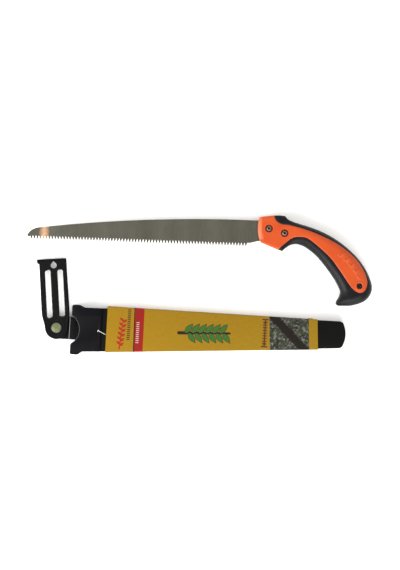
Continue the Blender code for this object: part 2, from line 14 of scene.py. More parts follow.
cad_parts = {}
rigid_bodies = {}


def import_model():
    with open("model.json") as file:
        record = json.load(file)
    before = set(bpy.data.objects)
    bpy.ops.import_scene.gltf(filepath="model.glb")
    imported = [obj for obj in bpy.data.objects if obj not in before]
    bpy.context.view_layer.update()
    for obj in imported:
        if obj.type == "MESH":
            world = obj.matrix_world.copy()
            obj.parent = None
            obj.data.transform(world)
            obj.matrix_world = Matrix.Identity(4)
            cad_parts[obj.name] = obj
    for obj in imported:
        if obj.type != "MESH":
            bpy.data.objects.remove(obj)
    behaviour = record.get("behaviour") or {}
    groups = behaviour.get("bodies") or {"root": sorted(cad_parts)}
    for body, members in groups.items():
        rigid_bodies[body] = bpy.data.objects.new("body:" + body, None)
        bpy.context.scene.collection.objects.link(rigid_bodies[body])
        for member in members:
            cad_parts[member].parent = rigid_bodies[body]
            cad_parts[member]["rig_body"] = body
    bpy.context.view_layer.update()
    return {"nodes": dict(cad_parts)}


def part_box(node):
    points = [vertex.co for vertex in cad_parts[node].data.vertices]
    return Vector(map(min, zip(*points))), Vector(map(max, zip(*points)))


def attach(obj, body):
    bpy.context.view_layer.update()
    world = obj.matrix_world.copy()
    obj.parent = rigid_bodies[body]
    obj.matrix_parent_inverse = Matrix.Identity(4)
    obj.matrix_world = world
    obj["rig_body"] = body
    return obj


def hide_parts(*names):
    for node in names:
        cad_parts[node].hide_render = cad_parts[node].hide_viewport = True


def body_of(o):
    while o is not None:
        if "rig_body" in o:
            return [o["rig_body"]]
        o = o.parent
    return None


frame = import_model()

MM = 0.001

# ------------------------------------------------------------------ the studio
# A long lens looks straight down on the set, which lies on a bright white table. Four soft
# boxes stand round the table, and the room above is dim, so flat tops don't mirror a lamp.

CAMERA_HEIGHT = 3.0
SEEN_LENGTH = 0.7419
SEEN_HEIGHT = 0.014
CAMERA_SIDE = 0.0006
SENSOR = 36.0
eye = bpy.data.cameras.new("camera")
eye.sensor_width = SENSOR
eye.lens = SENSOR * (CAMERA_HEIGHT - SEEN_HEIGHT) / SEEN_LENGTH
eye.clip_end = 30.0
camera = bpy.data.objects.new("camera", eye)
camera.location = (CAMERA_SIDE, 0, CAMERA_HEIGHT)
bpy.context.scene.collection.objects.link(camera)
bpy.context.scene.camera = camera
bpy.context.scene.view_settings.view_transform = "Standard"


def add(tree, kind, inputs=(), **settings):
    """A node with its settings made and its inputs filled or linked."""
    made = tree.nodes.new(kind)
    for key, value in settings.items():
        setattr(made, key, value)
    for key, value in dict(inputs).items():
        if isinstance(value, bpy.types.NodeSocket):
            tree.links.new(value, made.inputs[key])
        else:
            made.inputs[key].default_value = value
    return made


TABLE_SIDE = 8.0
TABLE_DROP = 0.0003
table_mesh = bpy.data.meshes.new("table")
corners = [(-1, -1), (1, -1), (1, 1), (-1, 1)]
table_mesh.from_pydata(
    [(x * TABLE_SIDE, y * TABLE_SIDE, -TABLE_DROP) for x, y in corners], [], [(0, 1, 2, 3)]
)
table = bpy.data.objects.new("table", table_mesh)
bpy.context.scene.collection.objects.link(table)
table_white = bpy.data.materials.new("table_white")
table_white.use_nodes = True
table_shader = table_white.node_tree.nodes["Principled BSDF"]
table_shader.inputs["Base Color"].default_value = (0.93, 0.93, 0.925, 1)
table_shader.inputs["Roughness"].default_value = 0.9
table_shader.inputs["Specular IOR Level"].default_value = 0.1
table_mesh.materials.append(table_white)

room = bpy.data.worlds.new("room")
room.use_nodes = True
room.node_tree.nodes["Background"].inputs["Color"].default_value = (1, 0.985, 0.955, 1)
room.node_tree.nodes["Background"].inputs["Strength"].default_value = 1.0
bpy.context.scene.world = room

SOFT_BOXES = (
    ("box_left", (-1.5, -0.7, 0.9), 1.3, 58),
    ("box_right", (1.6, 0.3, 1.4), 1.4, 8),
    ("box_far", (0.1, 1.8, 1.3), 1.5, 9),
    ("box_near", (0.3, -1.8, 1.1), 1.5, 46),
)
for name, place, side, power in SOFT_BOXES:
    lamp = bpy.data.lights.new(name, "AREA")
    lamp.size = side
    lamp.energy = power
    holder = bpy.data.objects.new(name, lamp)
    holder.location = place
    holder.rotation_euler = (-Vector(place)).to_track_quat("-Z", "Y").to_euler()
    bpy.context.scene.collection.objects.link(holder)

# ------------------------------------------------------------------ the blade
# A stamped and ground strip of carbon steel, brushed across its length, with a flat tang that
# the handle's two screws go through. A band of peach lacquer near the tip marks the nib; the
# band also glows a little by emission, which is a painted highlight.

BLADE_SIDE = 0.7
BLADE_LENGTH = 300.0
NOSE = -14.2
SPINE_HEIGHT, SPINE_DROP, SPINE_FLAT = 10.2, 19.5, 16.0
TOOTH_TIPS, TOOTH_DEPTH = -24.2, 4.5
TIP_ROUND, HEEL_GAP = 12.0, 15.0
SCREW_HOLE = 2.3
EDGE_BREAK = 0.22
REAR_SCREW = (20.5, -5.3)


def middle(node):
    """The middle of a CAD node's box."""
    low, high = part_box(node)
    return (low + high) / 2


def local_frame(origin, height, turn):
    """The matrix from a piece's own millimetres to the set's metres."""
    place = Matrix.Translation((origin.x, origin.y, height))
    return place @ Matrix.Rotation(turn, 4, "Z") @ Matrix.Scale(MM, 4)


screw_line = middle("rear_screw") - middle("front_screw")
saw_turn = math.atan2(screw_line.y, screw_line.x) - math.atan2(REAR_SCREW[1], REAR_SCREW[0])
saw = local_frame(middle("front_screw"), middle("grip_overmould").z, saw_turn)


def offset(loop, distance):
    """A closed anticlockwise loop of points moved outwards."""
    loop = np.asarray(loop, float)
    into = loop - np.roll(loop, 1, 0)
    out = np.roll(loop, -1, 0) - loop
    into /= np.linalg.norm(into, axis=1)[:, None]
    out /= np.linalg.norm(out, axis=1)[:, None]
    normal_in = np.c_[into[:, 1], -into[:, 0]]
    normal_out = np.c_[out[:, 1], -out[:, 0]]
    mitre = normal_in + normal_out
    return loop + mitre * (distance / np.maximum((mitre * normal_out).sum(1), 0.5))[:, None]


def arc(centre, radius, start, end, steps):
    """Points on an arc, from one angle in degrees to another."""
    turns = np.radians(np.linspace(start, end, steps + 1))
    return np.c_[centre[0] + radius * np.cos(turns), centre[1] + radius * np.sin(turns)]


def circle(centre, radius, steps=32):
    """A closed circle of points, anticlockwise."""
    return arc(centre, radius, 0, 360, steps)[:-1]


def show(name, points, faces, place, finish, sharp=35):
    """A new mesh object, placed by moving its points, with smooth faces and sharp edges."""
    mesh = bpy.data.meshes.new(name)
    mesh.from_pydata([tuple(point) for point in points], [], [tuple(face) for face in faces])
    body = bmesh.new()
    body.from_mesh(mesh)
    bmesh.ops.triangulate(body, faces=[face for face in body.faces if len(face.verts) > 4])
    bmesh.ops.recalc_face_normals(body, faces=body.faces)
    body.to_mesh(mesh)
    body.free()
    mesh.transform(place)
    mesh.shade_smooth()
    mesh.set_sharp_from_angle(angle=math.radians(sharp))
    if finish:
        mesh.materials.append(finish)
    piece = bpy.data.objects.new(name, mesh)
    bpy.context.scene.collection.objects.link(piece)
    return piece


def lofted(name, rings, place, finish, looped=False, sharp=35):
    """A body through rings with as many points each, closed by end caps or looped round."""
    count = len(rings[0])
    points = [point for ring in rings for point in ring]
    faces = []
    for low in range(len(rings) if looped else len(rings) - 1):
        high = (low + 1) % len(rings)
        for index in range(count):
            after = (index + 1) % count
            pair = (low * count + index, low * count + after)
            faces.append((*pair, high * count + after, high * count + index))
    if not looped:
        faces += [tuple(range(count))[::-1], tuple(range(len(points) - count, len(points)))]
    return show(name, points, faces, place, finish, sharp)


def levels(loop, steps):
    """Rings of one loop at several (outward offset, height) steps."""
    return [[(x, y, z) for x, y in offset(loop, grow)] for grow, z in steps]


def cut(piece, *tools):
    """Take other closed bodies out of a piece, and keep the result as its mesh."""
    for tool in tools:
        step = piece.modifiers.new(tool.name, "BOOLEAN")
        step.operation = "DIFFERENCE"
        step.solver = "EXACT"
        step.object = tool
    settle(piece)
    for tool in tools:
        bpy.data.objects.remove(tool)


def settle(piece):
    """Turn a piece's modifiers into its plain mesh."""
    view = bpy.context.evaluated_depsgraph_get()
    made = bpy.data.meshes.new_from_object(piece.evaluated_get(view), depsgraph=view)
    piece.modifiers.clear()
    piece.data = made
    made.shade_smooth()
    made.set_sharp_from_angle(angle=math.radians(35))


def object_places(tree, place=None):
    """A socket with a point's place, in metres, in the set's frame or in a piece's own."""
    source = add(tree, "ShaderNodeTexCoord").outputs["Object"]
    if place is None:
        return source
    spot, turn, _ = place.inverted().decompose()
    mapped = add(tree, "ShaderNodeMapping", {"Vector": source, "Location": spot * MM})
    mapped.inputs["Rotation"].default_value = turn.to_euler()
    return mapped.outputs["Vector"]


def stretched(tree, places, scale):
    """A socket with places stretched along each axis, for grain that runs one way."""
    return add(tree, "ShaderNodeMapping", {"Vector": places, "Scale": scale}).outputs["Vector"]


def noise(tree, places, scale, detail=3.0, roughness=0.5):
    """A noise value with features this many to the metre."""
    inputs = {"Vector": places, "Scale": scale, "Detail": detail, "Roughness": roughness}
    return add(tree, "ShaderNodeTexNoise", inputs).outputs["Fac"]


def spread(tree, value, low, high, from_low=0.3, from_high=0.7):
    """A value spread over a new range."""
    inputs = {"Value": value, "From Min": from_low, "From Max": from_high}
    return add(
        tree, "ShaderNodeMapRange", {**inputs, "To Min": low, "To Max": high}
    ).outputs["Result"]


def sum_up(tree, operation, *values):
    """One arithmetic step on values or sockets."""
    return add(tree, "ShaderNodeMath", dict(enumerate(values)), operation=operation).outputs[0]


def vector_step(tree, operation, *values):
    """One step on vectors: the node, since a length leaves by another socket."""
    return add(tree, "ShaderNodeVectorMath", dict(enumerate(values)), operation=operation)


def blend_colors(tree, share, first, second):
    """One colour turning into another."""
    made = add(tree, "ShaderNodeMix", data_type="RGBA")
    for index, value in ((0, share), (6, first), (7, second)):
        if isinstance(value, bpy.types.NodeSocket):
            tree.links.new(value, made.inputs[index])
        else:
            made.inputs[index].default_value = value if index == 0 else (*value, 1)
    return made.outputs[2]


def finish_of(name, color, roughness, metallic=0.0, **fixed):
    """A Principled material with its even values set, and its node tree and shader."""
    made = bpy.data.materials.new(name)
    made.use_nodes = True
    shader = made.node_tree.nodes["Principled BSDF"]
    shader.inputs["Base Color"].default_value = (*color, 1)
    shader.inputs["Roughness"].default_value = roughness
    shader.inputs["Metallic"].default_value = metallic
    for key, value in fixed.items():
        shader.inputs[key.replace("_", " ")].default_value = value
    return made, made.node_tree, shader


def join(tree, shader, color=None, roughness=None, height=None, depth=0.0001):
    """Link a colour, a roughness and a bump height to a shader."""
    if color is not None:
        tree.links.new(color, shader.inputs["Base Color"])
    if roughness is not None:
        tree.links.new(roughness, shader.inputs["Roughness"])
    if height is not None:
        inputs = {"Height": height, "Distance": depth, "Strength": 1.0}
        bump = add(tree, "ShaderNodeBump", inputs)
        tree.links.new(bump.outputs["Normal"], shader.inputs["Normal"])


blade_steel, tree, shader = finish_of("blade_steel", (0.25, 0.24, 0.2), 0.38, 0.92)
here = object_places(tree, saw)
along = add(tree, "ShaderNodeSeparateXYZ", {"Vector": here})
scratches = noise(tree, stretched(tree, here, (1, 0.02, 1)), 2600, 4, 0.7)
bands = noise(tree, stretched(tree, here, (1, 0.08, 1)), 34, 2, 0.4)
clouds = noise(tree, here, 60, 3)
tone = sum_up(
    tree, "ADD", spread(tree, bands, -0.5, 0.5), spread(tree, scratches, -0.45, 0.45)
)
tone = sum_up(tree, "ADD", tone, spread(tree, clouds, -0.15, 0.15))
# The steel is painted lighter towards the tip and darker towards the heel: a painted sheen.
tone = sum_up(tree, "ADD", tone, spread(tree, along.outputs["X"], 0.3, -0.3, -0.31, -0.02))
tone = spread(tree, tone, 0, 1, -1, 1)
steel = blend_colors(tree, tone, (0.078, 0.074, 0.058), (0.134, 0.128, 0.103))
LACQUER_MIDDLE, LACQUER_HALF = -0.2917, 0.0062
off_middle = sum_up(tree, "ABSOLUTE", sum_up(tree, "SUBTRACT", along.outputs["X"], LACQUER_MIDDLE))
edge_waver = spread(tree, noise(tree, here, 260, 3), -0.0012, 0.0012)
off_middle = sum_up(tree, "ADD", off_middle, edge_waver)
lacquer = spread(tree, off_middle, 0.9, 0, LACQUER_HALF * 0.15, LACQUER_HALF * 1.1)
join(
    tree,
    shader,
    blend_colors(tree, lacquer, steel, (0.55, 0.34, 0.22)),
    spread(tree, scratches, 0.3, 0.46),
    scratches,
    0.00001,
)
# The lacquer band glows by emission: a painted highlight, not a lamp.
painted_lacquer_glow = blend_colors(tree, lacquer, (0, 0, 0), (0.6, 0.3, 0.15))
tree.links.new(painted_lacquer_glow, shader.inputs["Emission Color"])
shader.inputs["Emission Strength"].default_value = 0.4

tip = NOSE - BLADE_LENGTH
spine_start, spine_end = NOSE - SPINE_FLAT, tip + TIP_ROUND
share = np.linspace(0, 1, 37)
spine = np.c_[spine_start + (spine_end - spine_start) * share, SPINE_HEIGHT - SPINE_DROP * share**2]
nib_top = SPINE_HEIGHT - SPINE_DROP
nib = [(8.6, -1.5), (5.6, -3.1), (3.2, -5.2), (1.4, -7.6), (0.2, -9.3), (0.2, -10.6)]
nib = [(tip + x, nib_top + y) for x, y in [*nib, (1.4, -11.8), (3.4, -12.4)]]
first_tooth, last_tooth = tip + 5.7, NOSE - HEEL_GAP
TOOTH_ROOT = TOOTH_TIPS + TOOTH_DEPTH
heel = [(last_tooth + 1.9, TOOTH_ROOT), (last_tooth + 5.8, -19.5), (NOSE - 0.5, -17.0)]
tang = [(NOSE, -16.9), (-9, -16.0), (3, -15.6), (20, -12.6), (28, -9.0), (28, -0.8)]
tang += [(22, 2.6), (5, 9.2), (NOSE, 10.0)]
plate_line = np.array([*spine, *nib, (first_tooth - 1.4, TOOTH_ROOT), *heel, *tang])
steps = [(-EDGE_BREAK, -BLADE_SIDE), (0, EDGE_BREAK - BLADE_SIDE)]
steps += [(0, BLADE_SIDE - EDGE_BREAK), (-EDGE_BREAK, BLADE_SIDE)]
plate = lofted("blade_plate", levels(plate_line, steps), saw, blade_steel)
for place in ((0, 0), REAR_SCREW):
    cut(plate, lofted("hole", levels(circle(place, SCREW_HOLE), [(0, -3), (0, 3)]), saw, None))
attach(plate, "saw")
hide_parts("blade")

# The teeth are ground on both flanks, every other one from the other face, so that they cut
# on the pull. They are one row along the plate's lower edge, as deep as the gullets between.

TOOTH_PITCH = 3.9
TOOTH_BED = 0.4
TOOTH_TIP, TOOTH_TIP_GROUND = 0.42, 0.2


def node_tree(name, inputs):
    """A Geometry Nodes tree with named inputs: the tree, its input node and its output node."""
    made = bpy.data.node_groups.new(name, "GeometryNodeTree")
    made.is_modifier = True
    made.interface.new_socket("Geometry", in_out="INPUT", socket_type="NodeSocketGeometry")
    for label, kind in inputs:
        made.interface.new_socket(label, in_out="INPUT", socket_type=f"NodeSocket{kind}")
    made.interface.new_socket("Geometry", in_out="OUTPUT", socket_type="NodeSocketGeometry")
    return made, made.nodes.new("NodeGroupInput"), made.nodes.new("NodeGroupOutput")


def close_tree(tree, instances, finish, made):
    """The last steps of a Geometry Nodes tree: real meshes, their material, and the output."""
    real = add(tree, "GeometryNodeRealizeInstances", {"Geometry": instances})
    inputs = {"Geometry": real.outputs["Geometry"], "Material": finish}
    dressed = add(tree, "GeometryNodeSetMaterial", inputs)
    tree.links.new(dressed.outputs["Geometry"], made.inputs["Geometry"])


def grow_nodes(name, group, values, place, sharp=35):
    """Run a Geometry Nodes tree once with its inputs set, and keep its mesh as a piece."""
    seed = bpy.data.meshes.new(name)
    piece = bpy.data.objects.new(name, seed)
    bpy.context.scene.collection.objects.link(piece)
    step = piece.modifiers.new(name, "NODES")
    step.node_group = group
    for item in group.interface.items_tree:
        if item.in_out == "INPUT" and item.name in values:
            step[item.identifier] = values[item.name]
    bpy.context.view_layer.update()
    settle(piece)
    piece.data.transform(place)
    piece.data.set_sharp_from_angle(angle=math.radians(sharp))
    return piece


half, top_half = TOOTH_PITCH / 2, 0.36 * TOOTH_PITCH
foot = 0.45 * TOOTH_PITCH
ground_depth = 0.78 * TOOTH_DEPTH
tooth_low = [(-foot, 0), (-half, TOOTH_BED), (half, TOOTH_BED), (foot, 0)]
tooth_low += [(TOOTH_TIP, -TOOTH_DEPTH), (-TOOTH_TIP, -TOOTH_DEPTH)]
tooth_high = [(-top_half, 0), (-half, TOOTH_BED), (half, TOOTH_BED), (top_half, 0)]
tooth_high += [(TOOTH_TIP_GROUND, -ground_depth), (-TOOTH_TIP_GROUND, -ground_depth)]
rings = [[(x, y, -BLADE_SIDE * 0.97) for x, y in tooth_low]]
rings += [[(x, y, -BLADE_SIDE * 0.5) for x, y in tooth_low]]
rings += [[(x, y, BLADE_SIDE * 0.97) for x, y in tooth_high]]
one_tooth = lofted("one_tooth", rings, Matrix.Identity(4), None, sharp=20)

inputs = [("Tooth", "Object"), ("Count", "Int"), ("First", "Vector"), ("Step", "Vector")]
tooth_row, given, made = node_tree("tooth_row", [*inputs, ("Steel", "Material")])
row_line = add(
    tooth_row,
    "GeometryNodeMeshLine",
    {
        "Count": given.outputs["Count"],
        "Start Location": given.outputs["First"],
        "Offset": given.outputs["Step"],
    },
)
index = add(tooth_row, "GeometryNodeInputIndex").outputs[0]
half_turn = sum_up(tooth_row, "MULTIPLY", sum_up(tooth_row, "MODULO", index, 2.0), math.pi)
facing = add(tooth_row, "ShaderNodeCombineXYZ", {"Y": half_turn})
shape = add(tooth_row, "GeometryNodeObjectInfo", {"Object": given.outputs["Tooth"]})
rows = add(
    tooth_row,
    "GeometryNodeInstanceOnPoints",
    {
        "Points": row_line.outputs["Mesh"],
        "Instance": shape.outputs["Geometry"],
        "Rotation": facing.outputs["Vector"],
    },
)
close_tree(tooth_row, rows.outputs["Instances"], given.outputs["Steel"], made)

tooth_count = round((last_tooth - first_tooth) / TOOTH_PITCH) + 1
tooth_step = (last_tooth - first_tooth) / (tooth_count - 1)
values = {"Tooth": one_tooth, "Count": tooth_count, "Steel": blade_steel}
values |= {"First": (first_tooth, TOOTH_ROOT, 0.0), "Step": (tooth_step, 0.0, 0.0)}
teeth = grow_nodes("blade_teeth", tooth_row, values, saw, 20)
bpy.data.objects.remove(one_tooth)
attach(teeth, "saw")

# ------------------------------------------------------------------ the handle core
# One moulding of orange glass-filled nylon, slotted for the tang. Its nose is chamfered, its
# middle shows between the rubber grips on both faces, and a hole at the butt takes a lanyard.

NOSE_CORNER = (-12.4, 14.5)
CHAMFER_WIDTH, CHAMFER_EDGE, CHAMFER_RISE = 5.0, 4.9, 0.72
RECESS, RECESS_SEAT, RECESS_RIM = 5.15, 5.6, 0.3
NUT_FLAT, NUT_SEAT = 7.6, 5.2
HANG_HOLE, HANG_RADIUS = (119.7, -70.6), 3.85
HANG_RIM_MIDDLE, HANG_RIM_HALF, HANG_RIM_RISE = 5.0, 1.1, 0.55
SEAM_WIDTH, SEAM_SINK = 0.55, 0.55
SEAM_FIT = 0.05
GRIP_HALF, BUTT_HALF = 12.4, 13.4


def through(points, steps=5):
    """An open run along a smooth curve through the points, without the last one."""
    points = np.array([points[0], *points, points[-1]], float)
    run = []
    for before, start, end, after in zip(points, points[1:], points[2:], points[3:]):
        for t in np.linspace(0, 1, steps, endpoint=False):
            cubic = 3 * start - before - 3 * end + after
            square = 2 * before - 5 * start + 4 * end - after
            run.append(0.5 * (2 * start + (end - before) * t + square * t**2 + cubic * t**3))
    return np.array(run)


def reach(points, line):
    """Each point's distance to an open line of points."""
    start, end = line[:-1], line[1:]
    way = end - start
    to = points[:, None] - start[None]
    t = np.clip((to * way).sum(2) / np.maximum((way * way).sum(1), 1e-9), 0, 1)
    return np.linalg.norm(to - t[..., None] * way, axis=2).min(1)


def ring_round(loop):
    """A closed loop as an open line that ends where it starts."""
    return np.vstack([loop, loop[:1]])


def within(points, loop):
    """Which points lie inside a closed loop."""
    start, end = loop, np.roll(loop, -1, 0)
    x, y = points[:, :1], points[:, 1:]
    spans = (start[:, 1] > y) != (end[:, 1] > y)
    rise = np.where(np.abs(end[:, 1] - start[:, 1]) < 1e-12, 1e-12, end[:, 1] - start[:, 1])
    cross = start[:, 0] + (y - start[:, 1]) * (end[:, 0] - start[:, 0]) / rise
    return (spans & (x < cross)).sum(1) % 2 == 1


def skin(loops, lines, inside, spacing, rings=()):
    """A field of triangles that keeps to closed loops and open lines: its points and faces."""
    places, edges = [], []
    bounds = [*map(ring_round, loops), *lines]
    for line in bounds:
        closed = np.allclose(line[0], line[-1])
        kept = line[:-1] if closed else line
        first = len(places)
        places += [tuple(point) for point in kept]
        edges += [(first + index, first + index + 1) for index in range(len(kept) - 1)]
        if closed:
            edges.append((first + len(kept) - 1, first))
    low, high = np.vstack(loops).min(0), np.vstack(loops).max(0)
    row = spacing * math.sqrt(3) / 2
    field = [
        (x + spacing / 2 * (index % 2), y)
        for index, y in enumerate(np.arange(low[1], high[1], row))
        for x in np.arange(low[0], high[0], spacing)
    ]
    field = np.array(field)
    near = np.full(len(field), 1e9)
    for line in [*bounds, *map(ring_round, rings)]:
        near = np.minimum(near, reach(field, line))
    field = field[inside(field) & (near > 0.55 * spacing)]
    for ring in rings:
        close = np.full(len(ring), 1e9)
        for line in bounds:
            close = np.minimum(close, reach(ring, line))
        field = np.vstack([field, ring[inside(ring) & (close > 0.1)]])
    made = geometry.delaunay_2d_cdt([*places, *map(tuple, field)], edges, [], 0, 1e-5)
    points, faces = np.array(made[0]), np.array(made[2])
    faces = faces[inside(points[faces].mean(1))]
    a, b, c = (points[faces[:, index]] for index in range(3))
    turned = (b[:, 0] - a[:, 0]) * (c[:, 1] - a[:, 1]) < (b[:, 1] - a[:, 1]) * (c[:, 0] - a[:, 0])
    faces[turned] = faces[turned][:, ::-1]
    used, faces = np.unique(faces, return_inverse=True)
    return points[used], faces.reshape(-1, 3)


def pressed(name, top, bottom, place, finish, sharp=32):
    """A closed body between two (points, heights, faces) skins that have one outline."""
    (points, heights, faces), (under, depths, lower) = top, bottom
    count = len(points)
    verts = [*np.c_[points, heights], *np.c_[under, depths]]
    made = [*map(tuple, faces), *map(tuple, lower[:, ::-1] + count)]
    where = {tuple(np.round(point, 3)): index + count for index, point in enumerate(under)}
    sides = {(face[k], face[(k + 1) % 3]) for face in faces.tolist() for k in range(3)}
    for a, b in sides:
        if (b, a) not in sides:
            pair = [where[tuple(np.round(points[index], 3))] for index in (a, b)]
            made.append((b, a, *pair))
    return show(name, verts, made, place, finish, sharp)


def ease(value, stations):
    """Values read from (place, value) stations, easing from each to the next."""
    value = np.asarray(value, float)
    out = np.full(value.shape, float(stations[0][1]))
    for (start, low), (end, high) in zip(stations, stations[1:]):
        t = np.clip((value - start) / (end - start), 0, 1)
        out += (high - low) * t * t * (3 - 2 * t)
    return out


nose = [NOSE_CORNER, (NOSE, 8.0), (NOSE, -4.4), (-11.9, -14.7), (-9.0, -18.9)]
under = [(-9.0, -18.9), (-1.1, -21.8), (12.4, -27.0)]
panel = [(12.4, -27.0), (27.9, -13.1), (34.9, -10.0), (44.1, -9.6), (51.2, -11.6)]
panel += [(63.1, -19.9), (79.9, -34.4), (92.0, -49.2), (104.2, -66.1), (111.6, -75.0)]
panel += [(119.9, -79.4), (126.7, -76.4), (129.7, -68.7), (129.0, -60.7), (124.6, -50.3)]
panel += [(114.9, -36.7), (102.8, -26.0), (85.0, -14.6), (62.6, -4.8), (43.7, 1.4)]
panel += [(27.3, 5.0), (16.9, 6.2), (10.4, 9.2), (7.2, 13.0), (6.4, 17.0)]
brow = [(6.4, 17.0), (0.0, 16.5), (-6.3, 15.4), NOSE_CORNER]
finger = [(18.1, -28.8), (26.3, -21.9), (34.0, -19.1), (41.9, -20.1), (49.8, -23.9)]
finger += [(61.9, -32.8), (74.0, -45.9), (86.3, -61.8), (94.0, -74.8), (95.4, -80.6)]
finger += [(93.2, -86.6), (90.4, -91.8), (90.6, -95.4), (93.8, -97.1), (98.5, -97.2)]
finger += [(111.0, -96.5), (126.4, -91.0), (134.4, -82.4), (136.8, -71.6), (133.1, -59.1)]
finger += [(124.8, -44.4), (112.6, -30.1), (96.4, -16.8), (80.5, -7.0), (64.6, 0.1)]
finger += [(48.8, 5.1), (33.0, 9.3), (25.1, 12.4), (20.6, 16.9)]
thumb = [(20.6, 16.9), (13.2, 17.6), (5.0, 17.0)]

core_line = np.vstack([through(nose, 4), through(under, 4), through(panel), through(brow, 4)])
grip_inside = np.array([(5.0, 17.0), (5.0, -10.0), (11.0, -26.2)])
grip_line = np.vstack([through(finger), through(thumb, 4), grip_inside])
seam = np.vstack([through(panel), [panel[-1]]])
handle_edge = np.vstack(
    [
        through(nose, 4),
        through(under, 4),
        through(finger),
        through(thumb, 4),
        through(brow, 4),
        [NOSE_CORNER],
    ]
)
nose_edge = np.vstack([through(nose[:4], 6), [nose[3]]])


def handle_height(points):
    """Half the handle's thickness over each point, with its rounded edges and its seam."""
    along = points[:, 0]
    stations = ((NOSE, 8.6), (0, 9.0), (18, 9.0), (66, GRIP_HALF), (112, BUTT_HALF))
    thick = ease(along, stations)
    radius = ease(along, ((8, 2.6), (22, 4.2), (46, 10.4), (70, 11.6), (112, 12.4)))
    out = reach(points, handle_edge)
    t = np.clip(out / radius, 0, 1)
    height = thick - radius * (1 - np.sqrt(1 - (1 - t) ** 2))
    height = np.maximum(height, 0.6)
    chamfer = CHAMFER_EDGE + CHAMFER_RISE * reach(points, nose_edge)
    height = np.where(along < 4, np.minimum(height, chamfer), height)
    dip = SEAM_SINK * np.exp(-((reach(points, seam) / SEAM_WIDTH) ** 2))
    height -= dip * np.clip(out / 2.5, 0, 1)
    return height


def core_face(upper):
    """The core's upper or lower skin: the screws' recesses above, and the nuts' below."""
    holes = [circle(place, SCREW_HOLE) for place in ((0, 0), REAR_SCREW)]
    holes.append(circle(HANG_HOLE, HANG_RADIUS, 48))
    inner = [point for point in offset(core_line, -CHAMFER_WIDTH) if point[0] < -5.5]
    inner = np.array([point for point in inner if abs(point[1]) < 16])
    crease = inner[np.argsort(-inner[:, 1])]
    pockets = []
    for place in ((0, 0), REAR_SCREW):
        if upper:
            pockets += [circle(place, RECESS, 48), circle(place, RECESS - 0.12, 48)]
        else:
            corner = NUT_FLAT / math.sqrt(3)
            pockets += [circle(place, corner, 6), circle(place, corner - 0.12, 6)]
    rings = [offset(core_line, -grow) for grow in (0.25, 0.6, 1.1, 1.8, 2.7)]
    rings += [circle(place, RECESS + RECESS_RIM, 48) for place in ((0, 0), REAR_SCREW)]
    rings += [circle(HANG_HOLE, grow, 48) for grow in (4.2, 4.6, 5.0, 5.4, 5.8, 6.2)]

    def inside(points):
        kept = within(points, core_line)
        for hole in holes:
            kept &= ~within(points, hole)
        return kept

    points, faces = skin([core_line, *holes, *pockets], [crease], inside, 1.3, rings)
    height = handle_height(points)
    if upper:
        from_hole = np.linalg.norm(points - HANG_HOLE, axis=1)
        rim = np.clip(1 - ((from_hole - HANG_RIM_MIDDLE) / HANG_RIM_HALF) ** 2, 0, 1)
        height += HANG_RIM_RISE * rim
    for place in ((0, 0), REAR_SCREW):
        far = np.linalg.norm(points - place, axis=1)
        if upper:
            height -= np.where(far < RECESS + 0.05, RECESS_RIM * 0.8, 0)
            height = np.where(far < RECESS - 0.05, RECESS_SEAT, height)
        else:
            corner = NUT_FLAT / math.sqrt(3)
            sunk = within(points, circle(place, corner - 0.06, 6))
            height = np.where(sunk, NUT_SEAT, height)
    return points, height if upper else -height, faces


orange_plastic, tree, shader = finish_of(
    "orange_plastic", (0.37, 0.05, 0.01), 0.42, Specular_IOR_Level=0.22
)
here = object_places(tree, saw)
grain = noise(tree, here, 2400, 2)
flow = noise(tree, stretched(tree, here, (1, 1.6, 1)), 45, 4)
scuffs = noise(tree, stretched(tree, here, (1, 0.16, 1)), 700, 4, 0.75)
tone = spread(tree, flow, 0, 1)
color = blend_colors(tree, tone, (0.345, 0.04, 0.0045), (0.39, 0.051, 0.007))
# Sharp edges are painted lighter: a painted highlight along them.
edge_pointiness = add(tree, "ShaderNodeNewGeometry").outputs["Pointiness"]
painted_edge_highlight = spread(tree, edge_pointiness, 0, 0.4, 0.52, 0.6)
color = blend_colors(tree, painted_edge_highlight, color, (0.5, 0.16, 0.06))
# The nose is painted lighter towards its front: a painted highlight on the chamfer.
nose_painted_highlight = add(tree, "ShaderNodeSeparateXYZ", {"Vector": here}).outputs["X"]
nose_painted_highlight = spread(tree, nose_painted_highlight, 0.75, 0, -0.0112, -0.0088)
color = blend_colors(tree, nose_painted_highlight, color, (0.42, 0.13, 0.055))
rough = sum_up(tree, "ADD", spread(tree, scuffs, 0.3, 0.4), spread(tree, grain, 0, 0.08))
join(tree, shader, color, rough, grain, 0.00004)
core = pressed("handle_core_moulding", core_face(True), core_face(False), saw, orange_plastic)
slot_line = [(NOSE - 3, -17.2), (-9, -16.3), (3, -15.9), (20, -12.9), (28.3, -9.2), (28.3, -0.6)]
slot_line += [(22, 3.0), (5, 9.5), (NOSE - 3, 10.5)]
cut(core, lofted("tang_slot", levels(slot_line, [(0, -1.0), (0, 1.0)]), saw, None))
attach(core, "saw")
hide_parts("handle_core")

# A sprig stands proud of the core's panel on the upper face, moulded in one with it: a stem
# with small pointed leaves on alternate sides.

SPRIG = [(90.5, -30.2), (97.0, -35.4), (104.0, -42.0), (110.5, -49.5), (116.0, -58.0)]
LEAF_LENGTH, LEAF_WIDTH, LEAF_RISE = 7.2, 3.3, 0.9
STEM_RADIUS = 0.5
stem_line = np.vstack([through(SPRIG, 6), [SPRIG[-1]]])
stem_heights = handle_height(stem_line) - 0.25
stem = bpy.data.curves.new("stem", "CURVE")
stem.dimensions = "3D"
run = stem.splines.new("POLY")
run.points.add(len(stem_line) - 1)
for point, (x, y), z in zip(run.points, stem_line, stem_heights):
    point.co = (x, y, z, 1)
stem_object = bpy.data.objects.new("stem", stem)
bpy.context.scene.collection.objects.link(stem_object)

